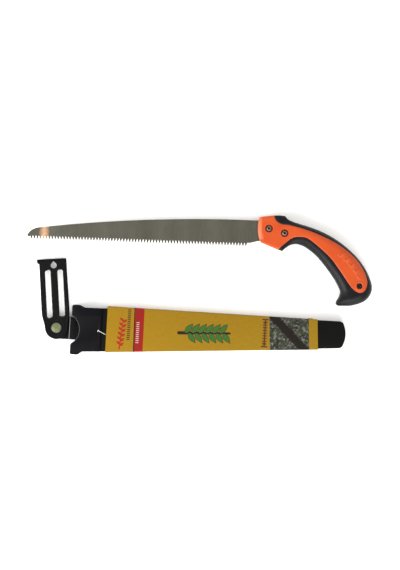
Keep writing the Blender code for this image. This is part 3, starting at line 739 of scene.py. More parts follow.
edge = np.linspace(0, 1, 9)
leaf_side = np.c_[edge * LEAF_LENGTH, LEAF_WIDTH / 2 * np.sin(np.pi * edge**0.8)]
leaf_line = np.vstack([leaf_side[:, :2] * (1, -1), leaf_side[1:-1][::-1]])
leaf_rings = []
for scale, z in ((1, -0.35), (1, 0.5), (0.84, 0.78), (0.42, LEAF_RISE)):
    centre = np.array([LEAF_LENGTH / 2, 0])
    leaf_rings.append([(x, y, z) for x, y in (leaf_line - centre) * scale + centre])
one_leaf = lofted("one_leaf", leaf_rings, Matrix.Identity(4), None)

inputs = [("Stem", "Object"), ("Leaf", "Object"), ("Leaves", "Int"), ("Spread", "Float")]
sprig, given, made = node_tree("sprig", [*inputs, ("Radius", "Float"), ("Plastic", "Material")])
twig = add(sprig, "GeometryNodeObjectInfo", {"Object": given.outputs["Stem"]})
knots = add(
    sprig,
    "GeometryNodeResampleCurve",
    {"Curve": twig.outputs["Geometry"], "Count": given.outputs["Leaves"]},
)
tangent = add(sprig, "GeometryNodeInputTangent").outputs[0]
index = add(sprig, "GeometryNodeInputIndex").outputs[0]
side = sum_up(sprig, "MODULO", index, 2.0)
side = sum_up(sprig, "SUBTRACT", sum_up(sprig, "MULTIPLY", side, 2.0), 1.0)
split = add(sprig, "ShaderNodeSeparateXYZ", {"Vector": tangent})
heading = sum_up(sprig, "ARCTAN2", split.outputs["Y"], split.outputs["X"])
lean = sum_up(sprig, "MULTIPLY", side, given.outputs["Spread"])
turned = add(sprig, "ShaderNodeCombineXYZ", {"Z": sum_up(sprig, "ADD", heading, lean)})
shape = add(sprig, "GeometryNodeObjectInfo", {"Object": given.outputs["Leaf"]})
points = add(
    sprig,
    "GeometryNodeCurveToPoints",
    {"Curve": knots.outputs["Curve"], "Count": given.outputs["Leaves"]},
)
leaves = add(
    sprig,
    "GeometryNodeInstanceOnPoints",
    {
        "Points": points.outputs["Points"],
        "Instance": shape.outputs["Geometry"],
        "Rotation": turned.outputs["Vector"],
    },
)
round_line = add(sprig, "GeometryNodeCurvePrimitiveCircle", {"Radius": given.outputs["Radius"]})
round_line.inputs["Resolution"].default_value = 10
stalk = add(
    sprig,
    "GeometryNodeCurveToMesh",
    {
        "Curve": twig.outputs["Geometry"],
        "Profile Curve": round_line.outputs["Curve"],
        "Fill Caps": True,
    },
)
both = sprig.nodes.new("GeometryNodeJoinGeometry")
for part in (leaves.outputs["Instances"], stalk.outputs["Mesh"]):
    sprig.links.new(part, both.inputs["Geometry"])
close_tree(sprig, both.outputs["Geometry"], given.outputs["Plastic"], made)
values = {"Stem": stem_object, "Leaf": one_leaf, "Leaves": 9, "Spread": 0.72}
values |= {"Radius": STEM_RADIUS, "Plastic": orange_plastic}
mark = grow_nodes("core_sprig", sprig, values, saw)
bpy.data.objects.remove(one_leaf)
bpy.data.objects.remove(stem_object)
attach(mark, "saw")

# ------------------------------------------------------------------ the rubber grip
# Black thermoplastic rubber moulded round the core: a thumb rest on the back, a trigger hook
# and a finger side below, and a butt that flares into a hook which stops the hand slipping.

DIMPLE, DIMPLE_RADIUS, DIMPLE_DEPTH = (95.0, -93.0), 1.5, 0.5
window_line = offset(core_line, SEAM_FIT)


def grip_inner(points):
    return within(points, grip_line) & ~within(points, window_line)


rings = [offset(grip_line, -grow) for grow in (0.2, 0.55, 1.1, 1.9, 3.0, 4.4)]
rings = [ring[: -len(grip_inside)] for ring in rings]
rings += [offset(window_line, grow) for grow in (0.35, 0.8, 1.4)]
rings += [circle(DIMPLE, grow, 16) for grow in (0.5, 1.0, 1.5)]
points, faces = skin([grip_line, window_line], [], grip_inner, 1.25, rings)
height = handle_height(points)
far = np.linalg.norm(points - DIMPLE, axis=1) / DIMPLE_RADIUS
height -= DIMPLE_DEPTH * np.clip(1 - far**2, 0, 1)

black_rubber, tree, shader = finish_of(
    "black_rubber", (0.01, 0.01, 0.011), 0.5, Specular_IOR_Level=0.13
)
here = object_places(tree, saw)
stipple = add(
    tree, "ShaderNodeTexVoronoi", {"Vector": here, "Scale": 1100, "Randomness": 0.7}
).outputs["Distance"]
cloud = noise(tree, here, 90, 4)
fine = noise(tree, here, 3200, 2)
tone = spread(tree, cloud, 0, 1)
color = blend_colors(tree, tone, (0.0024, 0.0024, 0.003), (0.005, 0.0053, 0.0064))
rough = sum_up(tree, "ADD", spread(tree, cloud, 0.32, 0.42), spread(tree, fine, 0, 0.08))
bumps = sum_up(tree, "ADD", spread(tree, stipple, 1, 0, 0, 0.6), spread(tree, fine, 0, 0.3))
join(tree, shader, color, rough, bumps, 0.00005)
grip = pressed("grip_rubber", (points, height, faces), (points, -height, faces), saw, black_rubber)
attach(grip, "saw")
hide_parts("grip_overmould")

# ------------------------------------------------------------------ the screws and nuts
# Two zinc-plated button-head screws with hexagon sockets go through the core and the tang, and
# pull on hexagon nuts that sit in pockets on the other face. Both pairs are one fastener laid
# out twice.

SHANK, SHANK_LOW = 2.0, -8.7
HEAD, HEAD_LOW, HEAD_RISE = 3.65, 5.9, 2.4
SOCKET_FLAT, SOCKET_DEEP = 2.9, 1.5
NUT_HALF_FLAT, NUT_LOW, NUT_RISE, NUT_BREAK = 3.5, -8.7, 3.2, 0.35


def round_ring(radius, height, steps=48):
    """A circle of points at a height, on the piece's own axis."""
    return [(x, y, height) for x, y in circle((0, 0), radius, steps)]


def hexagon_ring(half_flat, height, most=99.0, steps=48):
    """A hexagon of points at a height, with its corners turned down to a largest radius."""
    turns = np.linspace(0, 2 * math.pi, steps, endpoint=False)
    radii = half_flat / np.cos((turns + math.pi / 6) % (math.pi / 3) - math.pi / 6)
    radii = np.minimum(radii, most)
    return [(r * math.cos(t), r * math.sin(t), height) for r, t in zip(radii, turns)]


head_top = HEAD_LOW + HEAD_RISE
rings = [round_ring(SHANK - 0.4, SHANK_LOW), round_ring(SHANK, SHANK_LOW + 0.4)]
for turn in range(9):
    rings += [round_ring(SHANK, SHANK_LOW + 0.9 + turn * 0.5)]
    rings += [round_ring(SHANK - 0.22, SHANK_LOW + 1.15 + turn * 0.5)]
rings += [round_ring(SHANK, HEAD_LOW - 6), round_ring(SHANK, HEAD_LOW)]
rings += [round_ring(HEAD - 0.15, HEAD_LOW), round_ring(HEAD, HEAD_LOW + 0.15)]
for turn in np.radians((8, 25, 40, 54, 66)):
    dome = HEAD_RISE - 0.7
    rings.append(round_ring(HEAD * math.cos(turn) ** 0.8, HEAD_LOW + 0.7 + dome * math.sin(turn)))
rings.append(round_ring(SOCKET_FLAT / math.sqrt(3) + 0.28, head_top))
rings.append(hexagon_ring(SOCKET_FLAT / 2 + 0.1, head_top))
rings.append(hexagon_ring(SOCKET_FLAT / 2, head_top - 0.12))
rings.append(hexagon_ring(SOCKET_FLAT / 2, head_top - SOCKET_DEEP))
rings.append(hexagon_ring(SOCKET_FLAT / 4, head_top - SOCKET_DEEP - 0.35))
one_screw = lofted("one_screw", rings, Matrix.Identity(4), None)

most = NUT_HALF_FLAT * 2 / math.sqrt(3)
rings = [
    hexagon_ring(NUT_HALF_FLAT, NUT_LOW, most - NUT_BREAK),
    hexagon_ring(NUT_HALF_FLAT, NUT_LOW + NUT_BREAK, most),
    hexagon_ring(NUT_HALF_FLAT, NUT_LOW + NUT_RISE - NUT_BREAK, most),
    hexagon_ring(NUT_HALF_FLAT, NUT_LOW + NUT_RISE, most - NUT_BREAK),
    round_ring(SHANK + 0.6, NUT_LOW + NUT_RISE),
    round_ring(SHANK + 0.25, NUT_LOW + NUT_RISE - 0.35),
    round_ring(SHANK + 0.25, NUT_LOW + 0.35),
    round_ring(SHANK + 0.6, NUT_LOW),
]
one_nut = lofted("one_nut", rings, Matrix.Identity(4), None, looped=True)

inputs = [("Fastener", "Object"), ("Count", "Int"), ("Step", "Vector"), ("Metal", "Material")]
fastener_row, given, made = node_tree("fastener_row", inputs)
spots = add(
    fastener_row,
    "GeometryNodeMeshLine",
    {"Count": given.outputs["Count"], "Offset": given.outputs["Step"]},
)
shape = add(fastener_row, "GeometryNodeObjectInfo", {"Object": given.outputs["Fastener"]})
laid = add(
    fastener_row,
    "GeometryNodeInstanceOnPoints",
    {"Points": spots.outputs["Mesh"], "Instance": shape.outputs["Geometry"]},
)
close_tree(fastener_row, laid.outputs["Instances"], given.outputs["Metal"], made)

screw_steel, tree, shader = finish_of("screw_steel", (0.36, 0.29, 0.25), 0.32, 1.0)
here = object_places(tree, saw)
stains = noise(tree, here, 900, 4, 0.7)
turning = noise(tree, stretched(tree, here, (1, 1, 6)), 3000, 2)
color = blend_colors(tree, spread(tree, stains, 0, 1), (0.09, 0.062, 0.05), (0.24, 0.19, 0.165))
# Nearer the blade than the head's top the metal is painted dark: painted shade in the recess round
# each head, and on the nuts' sides.
depth = sum_up(tree, "ABSOLUTE", add(tree, "ShaderNodeSeparateXYZ", {"Vector": here}).outputs["Z"])
color = blend_colors(tree, spread(tree, depth, 1, 0, 0.0068, 0.0078), color, (0.02, 0.011, 0.008))
join(tree, shader, color, spread(tree, stains, 0.26, 0.48), turning, 0.00003)

for name, one, nodes in (
    ("socket_screws", one_screw, ("front_screw", "rear_screw")),
    ("hexagon_nuts", one_nut, ("front_nut", "rear_nut")),
):
    values = {"Fastener": one, "Count": 2, "Step": (*REAR_SCREW, 0.0), "Metal": screw_steel}
    pair = grow_nodes(name, fastener_row, values, saw)
    bpy.data.objects.remove(one)
    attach(pair, "saw")
    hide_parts(*nodes)

# ------------------------------------------------------------------ the throat
# A black nylon moulding at the scabbard's mouth: two ears with a scalloped lip between them, a
# floor that runs on as a round tab for the hanger, and a collar that the sheath plugs into.

pins_line = middle("upper_pin") - middle("lower_pin")
across = math.atan2(pins_line.y, pins_line.x) - math.pi / 2
scabbard = local_frame(middle("hanger_stud"), 0, across)
SHEATH_START, SHEATH_TIP = 58.0, 376.8
THROAT_HIGH, MOULD_ROUND = 18.0, 0.45
NOTCH_START, NOTCH_END, NOTCH_LONG, NOTCH_DEEP = 55.3, 56.8, 10.0, 0.9
SCALLOP, SCALLOP_EDGE, PAD_START = (9.07, -1.29), 21.3, 17.1


def sheath_edge(along, side):
    """The sheath's upper (side 1) or lower (side -1) edge at a distance along it."""
    share = (along - SHEATH_START) / (SHEATH_TIP - SHEATH_START)
    return 28.8 + 1.4 * share if side > 0 else -27.6 + 22.8 * share


def softened(name, node, width, finish, tools=()):
    mesh = frame["nodes"][node].data.copy()
    mesh.name = name
    mesh.materials.clear()
    mesh.materials.append(finish)
    body = bmesh.new()
    body.from_mesh(mesh)
    bmesh.ops.remove_doubles(body, verts=body.verts, dist=1e-6)
    limit = math.radians(0.6)
    bmesh.ops.dissolve_limit(body, angle_limit=limit, verts=body.verts, edges=body.edges)
    body.to_mesh(mesh)
    body.free()
    piece = bpy.data.objects.new(name, mesh)
    bpy.context.scene.collection.objects.link(piece)
    if tools:
        cut(piece, *tools)
    rounded = piece.modifiers.new("round", "BEVEL")
    rounded.width = width * MM
    rounded.segments = 2
    rounded.limit_method = "ANGLE"
    rounded.angle_limit = math.radians(38)
    settle(piece)
    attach(piece, body_of(frame["nodes"][node])[0])
    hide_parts(node)
    return piece


def moulded_black(name, low, high, rough_low, rough_high, grain_depth, highlight_mask=None):
    """A black moulded plastic with flow clouds, a fine grain, long scuffs and painted highlights
    where a mask is given.
    """
    made, tree, shader = finish_of(name, high, rough_low, Specular_IOR_Level=0.08)
    here = object_places(tree, scabbard)
    cloud = noise(tree, here, 38, 4, 0.6)
    grain = noise(tree, here, 2100, 3, 0.6)
    scuffs = noise(tree, stretched(tree, here, (0.08, 1, 1)), 420, 4, 0.8)
    color = blend_colors(tree, spread(tree, cloud, 0, 1), low, high)
    mark = spread(tree, scuffs, 0, 0.4, 0.63, 0.8)
    color = blend_colors(tree, mark, color, tuple(2.5 * part for part in high))
    if highlight_mask:
        # Masked places are painted grey: painted highlights on the edges.
        color = blend_colors(tree, highlight_mask(tree, here), color, (0.2, 0.2, 0.2))
    rough = sum_up(tree, "ADD", spread(tree, cloud, rough_low, rough_high), mark)
    join(tree, shader, color, rough, grain, grain_depth)
    return made


def block(name, low, high, place):
    """A closed box between two corners."""
    ring = [(low[0], low[1]), (high[0], low[1]), (high[0], high[1]), (low[0], high[1])]
    return lofted(name, levels(ring, [(0, low[2]), (0, high[2])]), place, None)



def mouth_edge_highlights(tree, here):
    """A mask of painted highlight over the scallop's lip and over the step at the end of the pad.
    """
    apart = add(tree, "ShaderNodeSeparateXYZ", {"Vector": here})
    x, z = apart.outputs["X"], apart.outputs["Z"]
    centre = (SCALLOP[0] * MM, SCALLOP[1] * MM, 0)
    centred = vector_step(tree, "SUBTRACT", here, centre)
    flat = vector_step(tree, "MULTIPLY", centred.outputs[0], (1, 1, 0))
    far = vector_step(tree, "LENGTH", flat.outputs[0])
    off = sum_up(tree, "SUBTRACT", far.outputs["Value"], SCALLOP_EDGE * MM)
    lip = spread(tree, sum_up(tree, "ABSOLUTE", off), 1, 0, 0.0003, 0.0006)
    lip = sum_up(tree, "MULTIPLY", lip, spread(tree, z, 0, 1, 0.0145, 0.0155))
    step = sum_up(tree, "ABSOLUTE", sum_up(tree, "SUBTRACT", x, PAD_START * MM))
    step = spread(tree, step, 1, 0, 0.0003, 0.0005)
    step = sum_up(tree, "MULTIPLY", step, spread(tree, z, 1, 0, 0.006, 0.007))
    return sum_up(tree, "MAXIMUM", lip, step)


throat_plastic = moulded_black(
    "throat_plastic",
    (0.0012, 0.0012, 0.0019),
    (0.0021, 0.0021, 0.003),
    0.46,
    0.58,
    0.00004,
    mouth_edge_highlights,
)
tools = []
for side in (-1, 1):
    edge = sheath_edge(SHEATH_START, side)
    rows = sorted((edge - side * NOTCH_LONG, edge + side * 20))
    low = (NOTCH_START, rows[0], THROAT_HIGH - NOTCH_DEEP)
    tools.append(block("notch", low, (NOTCH_END, rows[1], 30), scabbard))
softened("throat_moulding", "throat", MOULD_ROUND, throat_plastic, tools)

# ------------------------------------------------------------------ the guide rollers
# Two turned nylon rollers stand in the ears and keep the blade clear of the mouth. Each turns on
# a ground steel pin that is pressed in from behind.

roller_nylon, tree, shader = finish_of("roller_nylon", (0.5, 0.49, 0.45), 0.45)
shader.inputs["Subsurface Weight"].default_value = 0.15
shader.inputs["Subsurface Radius"].default_value = (0.002, 0.002, 0.0018)
here = object_places(tree)
turning = noise(tree, stretched(tree, here, (0.1, 0.1, 1)), 3600, 2)
cloud = noise(tree, here, 300, 3)
color = blend_colors(tree, spread(tree, cloud, 0, 1), (0.42, 0.41, 0.36), (0.56, 0.55, 0.5))
join(tree, shader, color, spread(tree, cloud, 0.36, 0.52), turning, 0.00003)

pin_steel, tree, shader = finish_of("pin_steel", (0.45, 0.45, 0.46), 0.28, 1.0)
here = object_places(tree)
turning = noise(tree, stretched(tree, here, (0.1, 0.1, 1)), 5200, 3)
smears = noise(tree, here, 700, 3)
color = blend_colors(tree, spread(tree, smears, 0, 1), (0.34, 0.34, 0.35), (0.58, 0.58, 0.6))
join(tree, shader, color, spread(tree, smears, 0.2, 0.42), turning, 0.00001)

for side in ("upper", "lower"):
    softened(f"{side}_roller_turned", f"{side}_roller", 0.25, roller_nylon)
    softened(f"{side}_pin_ground", f"{side}_pin", 0.2, pin_steel)

# ------------------------------------------------------------------ the sheath
# A long black channel moulding, tapered like the blade and closed at its tip, with a flat plate
# welded over its back.

sheath_plastic = moulded_black(
    "sheath_plastic", (0.001, 0.0009, 0.0008), (0.0017, 0.0015, 0.0013), 0.5, 0.62, 0.00005
)
softened("sheath_channel", "sheath_body", 0.8, sheath_plastic)
softened("sheath_plate", "sheath_back", 0.3, sheath_plastic)

# ------------------------------------------------------------------ the stud and its washer
# A steel stud with a wide low head, passivated olive and grey round its rim. It goes
# through the hanger's foot and the tab, and is riveted over a washer behind.

STUD_HEAD, STUD_LOW, STUD_HIGH, STUD_SHANK, STUD_FOOT = 6.5, 6.2, 8.4, 3.2, 0.5
STUD_CROWN, STUD_CROWN_TOP = 0.9, 1.65
passivated, tree, shader = finish_of("passivated_steel", (0.3, 0.34, 0.13), 0.42, 0.35)
here = object_places(tree, scabbard)
apart = add(tree, "ShaderNodeSeparateXYZ", {"Vector": here})
flat = add(tree, "ShaderNodeCombineXYZ", {"X": apart.outputs["X"], "Y": apart.outputs["Y"]})
radius = vector_step(tree, "LENGTH", flat.outputs["Vector"]).outputs["Value"]
blotch = noise(tree, here, 620, 4, 0.65)
olive = blend_colors(tree, spread(tree, blotch, 0, 1), (0.07, 0.083, 0.022), (0.14, 0.156, 0.056))
waver = sum_up(tree, "ADD", radius, spread(tree, blotch, -0.0005, 0.0005))
rim = spread(tree, waver, 0, 1, 0.0048, 0.0056)
color = blend_colors(tree, rim, olive, (0.1, 0.105, 0.095))
lathe = sum_up(tree, "SINE", sum_up(tree, "MULTIPLY", radius, 9000.0))
join(tree, shader, color, spread(tree, blotch, 0.3, 0.5), lathe, 0.000012)

rings = [round_ring(STUD_SHANK - 0.3, STUD_FOOT), round_ring(STUD_SHANK, STUD_FOOT + 0.3)]
rings += [round_ring(STUD_SHANK, STUD_LOW), round_ring(STUD_HEAD - 0.2, STUD_LOW)]
rings += [round_ring(STUD_HEAD, STUD_LOW + 0.25), round_ring(STUD_HEAD, STUD_LOW + 0.75)]
for turn in np.radians((20, 45, 70)):
    height = STUD_LOW + STUD_CROWN_TOP - STUD_CROWN * math.cos(turn)
    rings.append(round_ring(STUD_HEAD - STUD_CROWN * math.sin(turn), height))
rings += [round_ring(5.3, STUD_LOW + 1.75), round_ring(5.0, STUD_LOW + 1.6)]
rings += [round_ring(4.7, STUD_LOW + 1.75), round_ring(3.2, STUD_HIGH - 0.12)]
rings.append(round_ring(1.4, STUD_HIGH))
stud = lofted("stud_turned", rings, scabbard, passivated, sharp=28)
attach(stud, "scabbard")
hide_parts("hanger_stud")
softened("washer_stamped", "stud_washer", 0.2, passivated)

# ------------------------------------------------------------------ the belt hanger
# A flat black nylon arm that turns about the stud. Two long slots take a belt, a drop-shaped
# hole above them hangs it on a nail, and a short hook stands out at its upper corner.

HANGER_TURN = 6.3
HANGER_LOW, HANGER_THICK, HANGER_ROUND = 3.1, 2.8, 0.75
FOOT, HALF_WIDTH, FLARE, HEIGHT = 15.0, 18.25, 20.0, 90.1
HOOK_OUT, HOOK_DEEP = 2.8, 6.2
SLOT_HALF, SLOT_TOP, SLOT_CORNER = 3.55, 75.4, 2.4
DROP, DROP_RADIUS, DROP_POINT = (0.5, 81.4), 3.9, 5.4
STUD_HOLE, BOSS_RING, BOSS_HALF, BOSS_DEEP = 3.5, 7.9, 0.6, 0.35
BORDER, BORDER_SLOPE, BORDER_RISE = 1.9, 0.4, 0.3
hanger = scabbard @ Matrix.Rotation(math.radians(HANGER_TURN), 4, "Z")
hanger @= Matrix.Translation((0, 0, HANGER_LOW + HANGER_THICK / 2))
rise = np.linspace(0, 1, 9)[1:]
wide = FOOT + (HALF_WIDTH - FOOT) * rise * rise * (3 - 2 * rise)
right = np.c_[wide, FLARE * rise]
lip = HEIGHT - HOOK_DEEP
hook = [(HALF_WIDTH - 0.9, HEIGHT - 0.6), (HALF_WIDTH - 1.6, HEIGHT)]
hook += [(-HALF_WIDTH - HOOK_OUT, HEIGHT), (-HALF_WIDTH - HOOK_OUT, lip + 1.6)]
hook += [(-HALF_WIDTH - HOOK_OUT + 1.2, lip + 0.3), (-HALF_WIDTH, lip)]
foot = arc((0, 0), FOOT, 180, 360, 48)
hanger_line = np.vstack([foot, right, hook, (right * (-1, 1))[::-1]])
slots = []
for middle_x, low, corner, tilt in ((-7.7, 12.8, 3.4, 0.45), (8.5, 14.4, 1.9, 0.0)):
    left_x, right_x = middle_x - SLOT_HALF, middle_x + SLOT_HALF
    top = [
        arc((right_x - SLOT_CORNER, SLOT_TOP - SLOT_CORNER + tilt), SLOT_CORNER, 0, 90, 6),
        arc((left_x + SLOT_CORNER, SLOT_TOP - SLOT_CORNER - tilt), SLOT_CORNER, 90, 180, 6),
    ]
    low_left = arc((left_x + corner, low + corner), corner, 180, 270, 8)
    low_right = arc((right_x - corner, low + corner), corner, 270, 360, 8)
    slots.append(np.vstack([*top, low_left, low_right]))
drop_round = arc(DROP, DROP_RADIUS, 135, 405, 30)
drop = np.vstack([drop_round, [(DROP[0], DROP[1] + DROP_POINT)]])
stud_hole = circle((0, 0), STUD_HOLE, 40)
holes = [*slots, drop, stud_hole]


def hanger_inside(points):
    kept = within(points, hanger_line)
    for hole in holes:
        kept &= ~within(points, hole)
    return kept


rings = [offset(hanger_line, -grow) for grow in (0.18, 0.42, 0.8, 1.9, 2.3)]
rings += [offset(hole, grow) for hole in holes for grow in (0.18, 0.42, 0.8)]
rings += [circle((0, 0), grow, 48) for grow in (7.3, 7.9, 8.5)]
points, faces = skin([hanger_line, *holes], [], hanger_inside, 2.0, rings)
from_edge = reach(points, ring_round(hanger_line))
for hole in holes:
    from_edge = np.minimum(from_edge, reach(points, ring_round(hole)))
t = np.clip(from_edge / HANGER_ROUND, 0, 1)
half = HANGER_THICK / 2 - HANGER_ROUND * (1 - np.sqrt(1 - (1 - t) ** 2))
boss = np.linalg.norm(points, axis=1)
top = half - BOSS_DEEP * np.clip(1 - ((boss - BOSS_RING) / BOSS_HALF) ** 2, 0, 1)
outer = reach(points, ring_round(hanger_line))
top = top - BORDER_RISE * np.clip((outer - BORDER) / BORDER_SLOPE, 0, 1) * (from_edge > 0.79)
hanger_plastic = moulded_black(
    "hanger_plastic", (0.0015, 0.0015, 0.0019), (0.0027, 0.0027, 0.0033), 0.44, 0.56, 0.00005
)
arm = pressed("hanger_arm", (points, top, faces), (points, -half, faces), hanger, hanger_plastic)
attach(arm, "hanger")
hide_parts("belt_hanger")

# ------------------------------------------------------------------ the card sleeve
# Yellow coated card, folded into a flat tube and slid over the sheath, and loose along its
# upper fold towards the mouth. Its print wraps round it: a red band with a dark edge near the
# mouth, and a panel of foliage and bark near the tip.

CARD_START, CARD_END, CARD_SLANT = 65.8, 340.5, 2.8
CARD_OUT, CARD_IN, CARD_HIGH, CARD_WALL = 1.0, 0.3, 16.7, 0.7
CARD_CORNER, FOLD_CORNER, CARD_LOOSE = 1.3, 0.6, 2.3
TAB_START, TAB_END, TAB_PROUD = 326.5, 333.0, 1.1


def rounded(low, high, radius, steps=4):
    """A closed rectangle with round corners between two corners, anticlockwise."""
    right, left = high[0] - radius, low[0] + radius
    upper, lower = high[1] - radius, low[1] + radius
    spots = ((right, upper, 0), (left, upper, 90), (left, lower, 180), (right, lower, 270))
    return np.vstack([arc((x, y), radius, turn, turn + 90, steps) for x, y, turn in spots])


def card_ring(along, grow, wall, radius, slant):
    """The card's outline across the sheath at a distance along it."""
    loose = CARD_LOOSE * (CARD_END - along) / (CARD_END - CARD_START)
    bottom, top = sheath_edge(along, -1) - grow, sheath_edge(along, 1) + grow + loose
    loop = rounded((bottom, wall), (top, CARD_HIGH - wall), radius)
    lean = slant * ((loop[:, 0] - bottom) / (top - bottom) - 0.5)
    return [(along - shift, across, height) for (across, height), shift in zip(loop, lean)]


stations = np.linspace(CARD_START, CARD_END, 14)
leans = [0.0] * 13 + [CARD_SLANT]
rings = [card_ring(u, CARD_OUT, 0, CARD_CORNER, lean) for u, lean in zip(stations, leans)]
inner = [card_ring(u, CARD_IN, CARD_WALL, FOLD_CORNER, lean) for u, lean in zip(stations, leans)]

printed_card, tree, shader = finish_of(
    "printed_card", (0.19, 0.105, 0.003), 0.36, Specular_IOR_Level=0.15
)
here = object_places(tree, scabbard)
apart = add(tree, "ShaderNodeSeparateXYZ", {"Vector": here})
along, across = apart.outputs["X"], apart.outputs["Y"]


def stripe(start, end, slant):
    """A mask that is 1 between two places along the sleeve, with edges that lean across it."""
    place = sum_up(tree, "MULTIPLY_ADD", across, -slant, along)
    rise = spread(tree, place, 0, 1, (start - 0.25) * MM, (start + 0.25) * MM)
    fall = spread(tree, place, 1, 0, (end - 0.25) * MM, (end + 0.25) * MM)
    return sum_up(tree, "MULTIPLY", rise, fall)


fibres = noise(tree, here, 240, 4, 0.6)
fine = noise(tree, here, 2600, 3)
tone = spread(tree, along, 0, 1, 0.07, 0.2)
color = blend_colors(tree, tone, (0.21, 0.114, 0.0033), (0.172, 0.098, 0.0028))
fading = spread(tree, fibres, 0, 1)
faded = blend_colors(tree, fading, (0.155, 0.086, 0.0025), (0.2, 0.112, 0.0038))
color = blend_colors(tree, 0.45, color, faded)
color = blend_colors(tree, stripe(102.4, 114.1, -0.01), color, (0.17, 0.0066, 0.0045))
color = blend_colors(tree, stripe(101.3, 102.6, -0.0214), color, (0.012, 0.0012, 0.0015))

leaves = noise(tree, here, 150, 5, 0.62)
gaps = noise(tree, here, 330, 4, 0.6)
waver = spread(tree, noise(tree, here, 230, 5, 0.75), -0.6, 0.6)
undergrowth = (0.002, 0.002, 0.0013), (0.036, 0.038, 0.024)
scenery = blend_colors(tree, spread(tree, leaves, 0, 1), *undergrowth)
light = spread(tree, gaps, 0, 0.9, 0.5, 0.66)
scenery = blend_colors(tree, light, scenery, (0.12, 0.125, 0.108))
branch = sum_up(tree, "MULTIPLY_ADD", along, 0.94, across)
branch = sum_up(tree, "ABSOLUTE", sum_up(tree, "ADD", branch, -0.2958))
branch = sum_up(tree, "ADD", branch, sum_up(tree, "MULTIPLY", waver, 0.004))
bark = spread(tree, branch, 1, 0, 0.0066, 0.0086)
scenery = blend_colors(tree, bark, scenery, (0.0065, 0.0045, 0.003))
color = blend_colors(tree, stripe(278.5, 329.9, -0.0735), color, scenery)
join(tree, shader, color, spread(tree, fibres, 0.3, 0.42), fine, 0.00001)
sleeve = lofted(
    "sleeve_card", [*rings, *inner[::-1]], scabbard, printed_card, looped=True, sharp=60
)
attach(sleeve, "sleeve")
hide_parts("card_sleeve")

tab_edge = sheath_edge(TAB_START, 1) + CARD_OUT
rings = []
for u, shrink in ((TAB_START, 0.3), (TAB_START + 0.3, 0), (TAB_END - 0.3, 0), (TAB_END, 0.3)):
    low = (tab_edge - 0.6, CARD_HIGH - 3.2 + shrink)
    high = (tab_edge + TAB_PROUD - shrink, CARD_HIGH - 0.2 - shrink)
    rings.append([(u, y, z) for y, z in rounded(low, high, 0.5)])
tab = lofted("sleeve_tab", rings, scabbard, printed_card)
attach(tab, "sleeve")

# The sleeve's inks stand on the card as thin films: a red twig, rules of dark and white dashes,
# a brown dimension line, and a plain leafy bough.

INK_LOW, INK_HIGH, INK_STEP, KEY_LINE = 16.66, 16.74, 0.003, 0.45
RED, DARK, WHITE = (0.21, 0.013, 0.006), (0.005, 0.005, 0.007), (0.33, 0.29, 0.26)
BROWN, GREEN = (0.05, 0.01, 0.009), (0.02, 0.075, 0.014)


def capsule(start, end, wide, narrow=None):
    """A bar with round ends, given its half width at each."""
    turn = math.degrees(math.atan2(end[1] - start[1], end[0] - start[0]))
    tail = arc(end, narrow or wide, turn - 90, turn + 90, 10)
    return np.vstack([tail, arc(start, wide, turn + 90, turn + 270, 10)])


def leaf(root, turn, length, width):
    """A pointed leaf that grows from its root."""
    share = np.linspace(0, 1, 9)
    side = np.c_[share * length, width / 2 * np.sin(np.pi * share**0.85)]
    loop = np.vstack([side * (1, -1), side[1:-1][::-1]])
    turn = math.radians(turn)
    return loop @ [[math.cos(turn), math.sin(turn)], [-math.sin(turn), math.cos(turn)]] + root


marks = [(capsule((83.5, -22.5), (87.0, 16.5), 0.9, 0.5), RED)]
for step in range(6):
    root = (83.9 + 0.55 * step, -18.5 + 6.1 * step)
    marks.append((leaf(root, 38, 7.0, 3.6), RED))
    marks.append((leaf((root[0], root[1] + 2.2), 136, 6.0, 3.2), RED))
marks += [(capsule((93.0, v), (96.2, v + 0.3), 0.55), DARK) for v in np.arange(-9.5, 29, 2.55)]
marks += [(capsule((104.8, v), (107.8, v), 0.5), WHITE) for v in np.arange(-13, 14, 2.6)]
marks.append((capsule((271.6, -8.5), (271.6, 26.8), 0.7), BROWN))
marks += [(capsule((268.2, v), (275.0, v), 0.75), BROWN) for v in (-8.5, 26.8)]
marks += [(capsule((269.2, v), (274.0, v), 0.6), BROWN) for v in np.arange(-5, 24, 3.53)]
marks.append(([(271.6, -8.2), (273.4, -3.6), (269.8, -3.6)], BROWN))
marks.append(([(271.6, 26.5), (269.8, 21.9), (273.4, 21.9)], BROWN))
bough = [(capsule((160.0, 3.0), (226.0, 6.0), 1.6, 0.8), DARK)]
for step in range(6):
    root = (168.0 + 9.0 * step, 3.4 + 0.4 * step)
    bough.append((leaf(root, 52, 15.0, 6.5), GREEN))
    bough.append((leaf((root[0] + 4.5, root[1]), -52, 15.0, 6.5), GREEN))
for outline, _ in bough:
    marks.append((offset(np.array(outline), KEY_LINE), DARK))
marks += bough

inks = bmesh.new()
ink_layer = inks.loops.layers.float_color.new("ink")
for index, (outline, ink) in enumerate(marks):
    high = INK_HIGH + INK_STEP * index
    low_row = [inks.verts.new((x, y, INK_LOW)) for x, y in outline]
    high_row = [inks.verts.new((x, y, high)) for x, y in outline]
    made = [inks.faces.new(low_row[::-1]), inks.faces.new(high_row)]
    for start in range(len(outline)):
        after = (start + 1) % len(outline)
        corners = (low_row[start], low_row[after], high_row[after], high_row[start])
        made.append(inks.faces.new(corners))
    for face in made:
        for corner in face.loops:
            corner[ink_layer] = (*ink, 1)
bmesh.ops.triangulate(inks, faces=[face for face in inks.faces if len(face.verts) > 4])
bmesh.ops.recalc_face_normals(inks, faces=inks.faces)
ink_mesh = bpy.data.meshes.new("sleeve_print")
inks.to_mesh(ink_mesh)
inks.free()
ink_mesh.transform(scabbard)

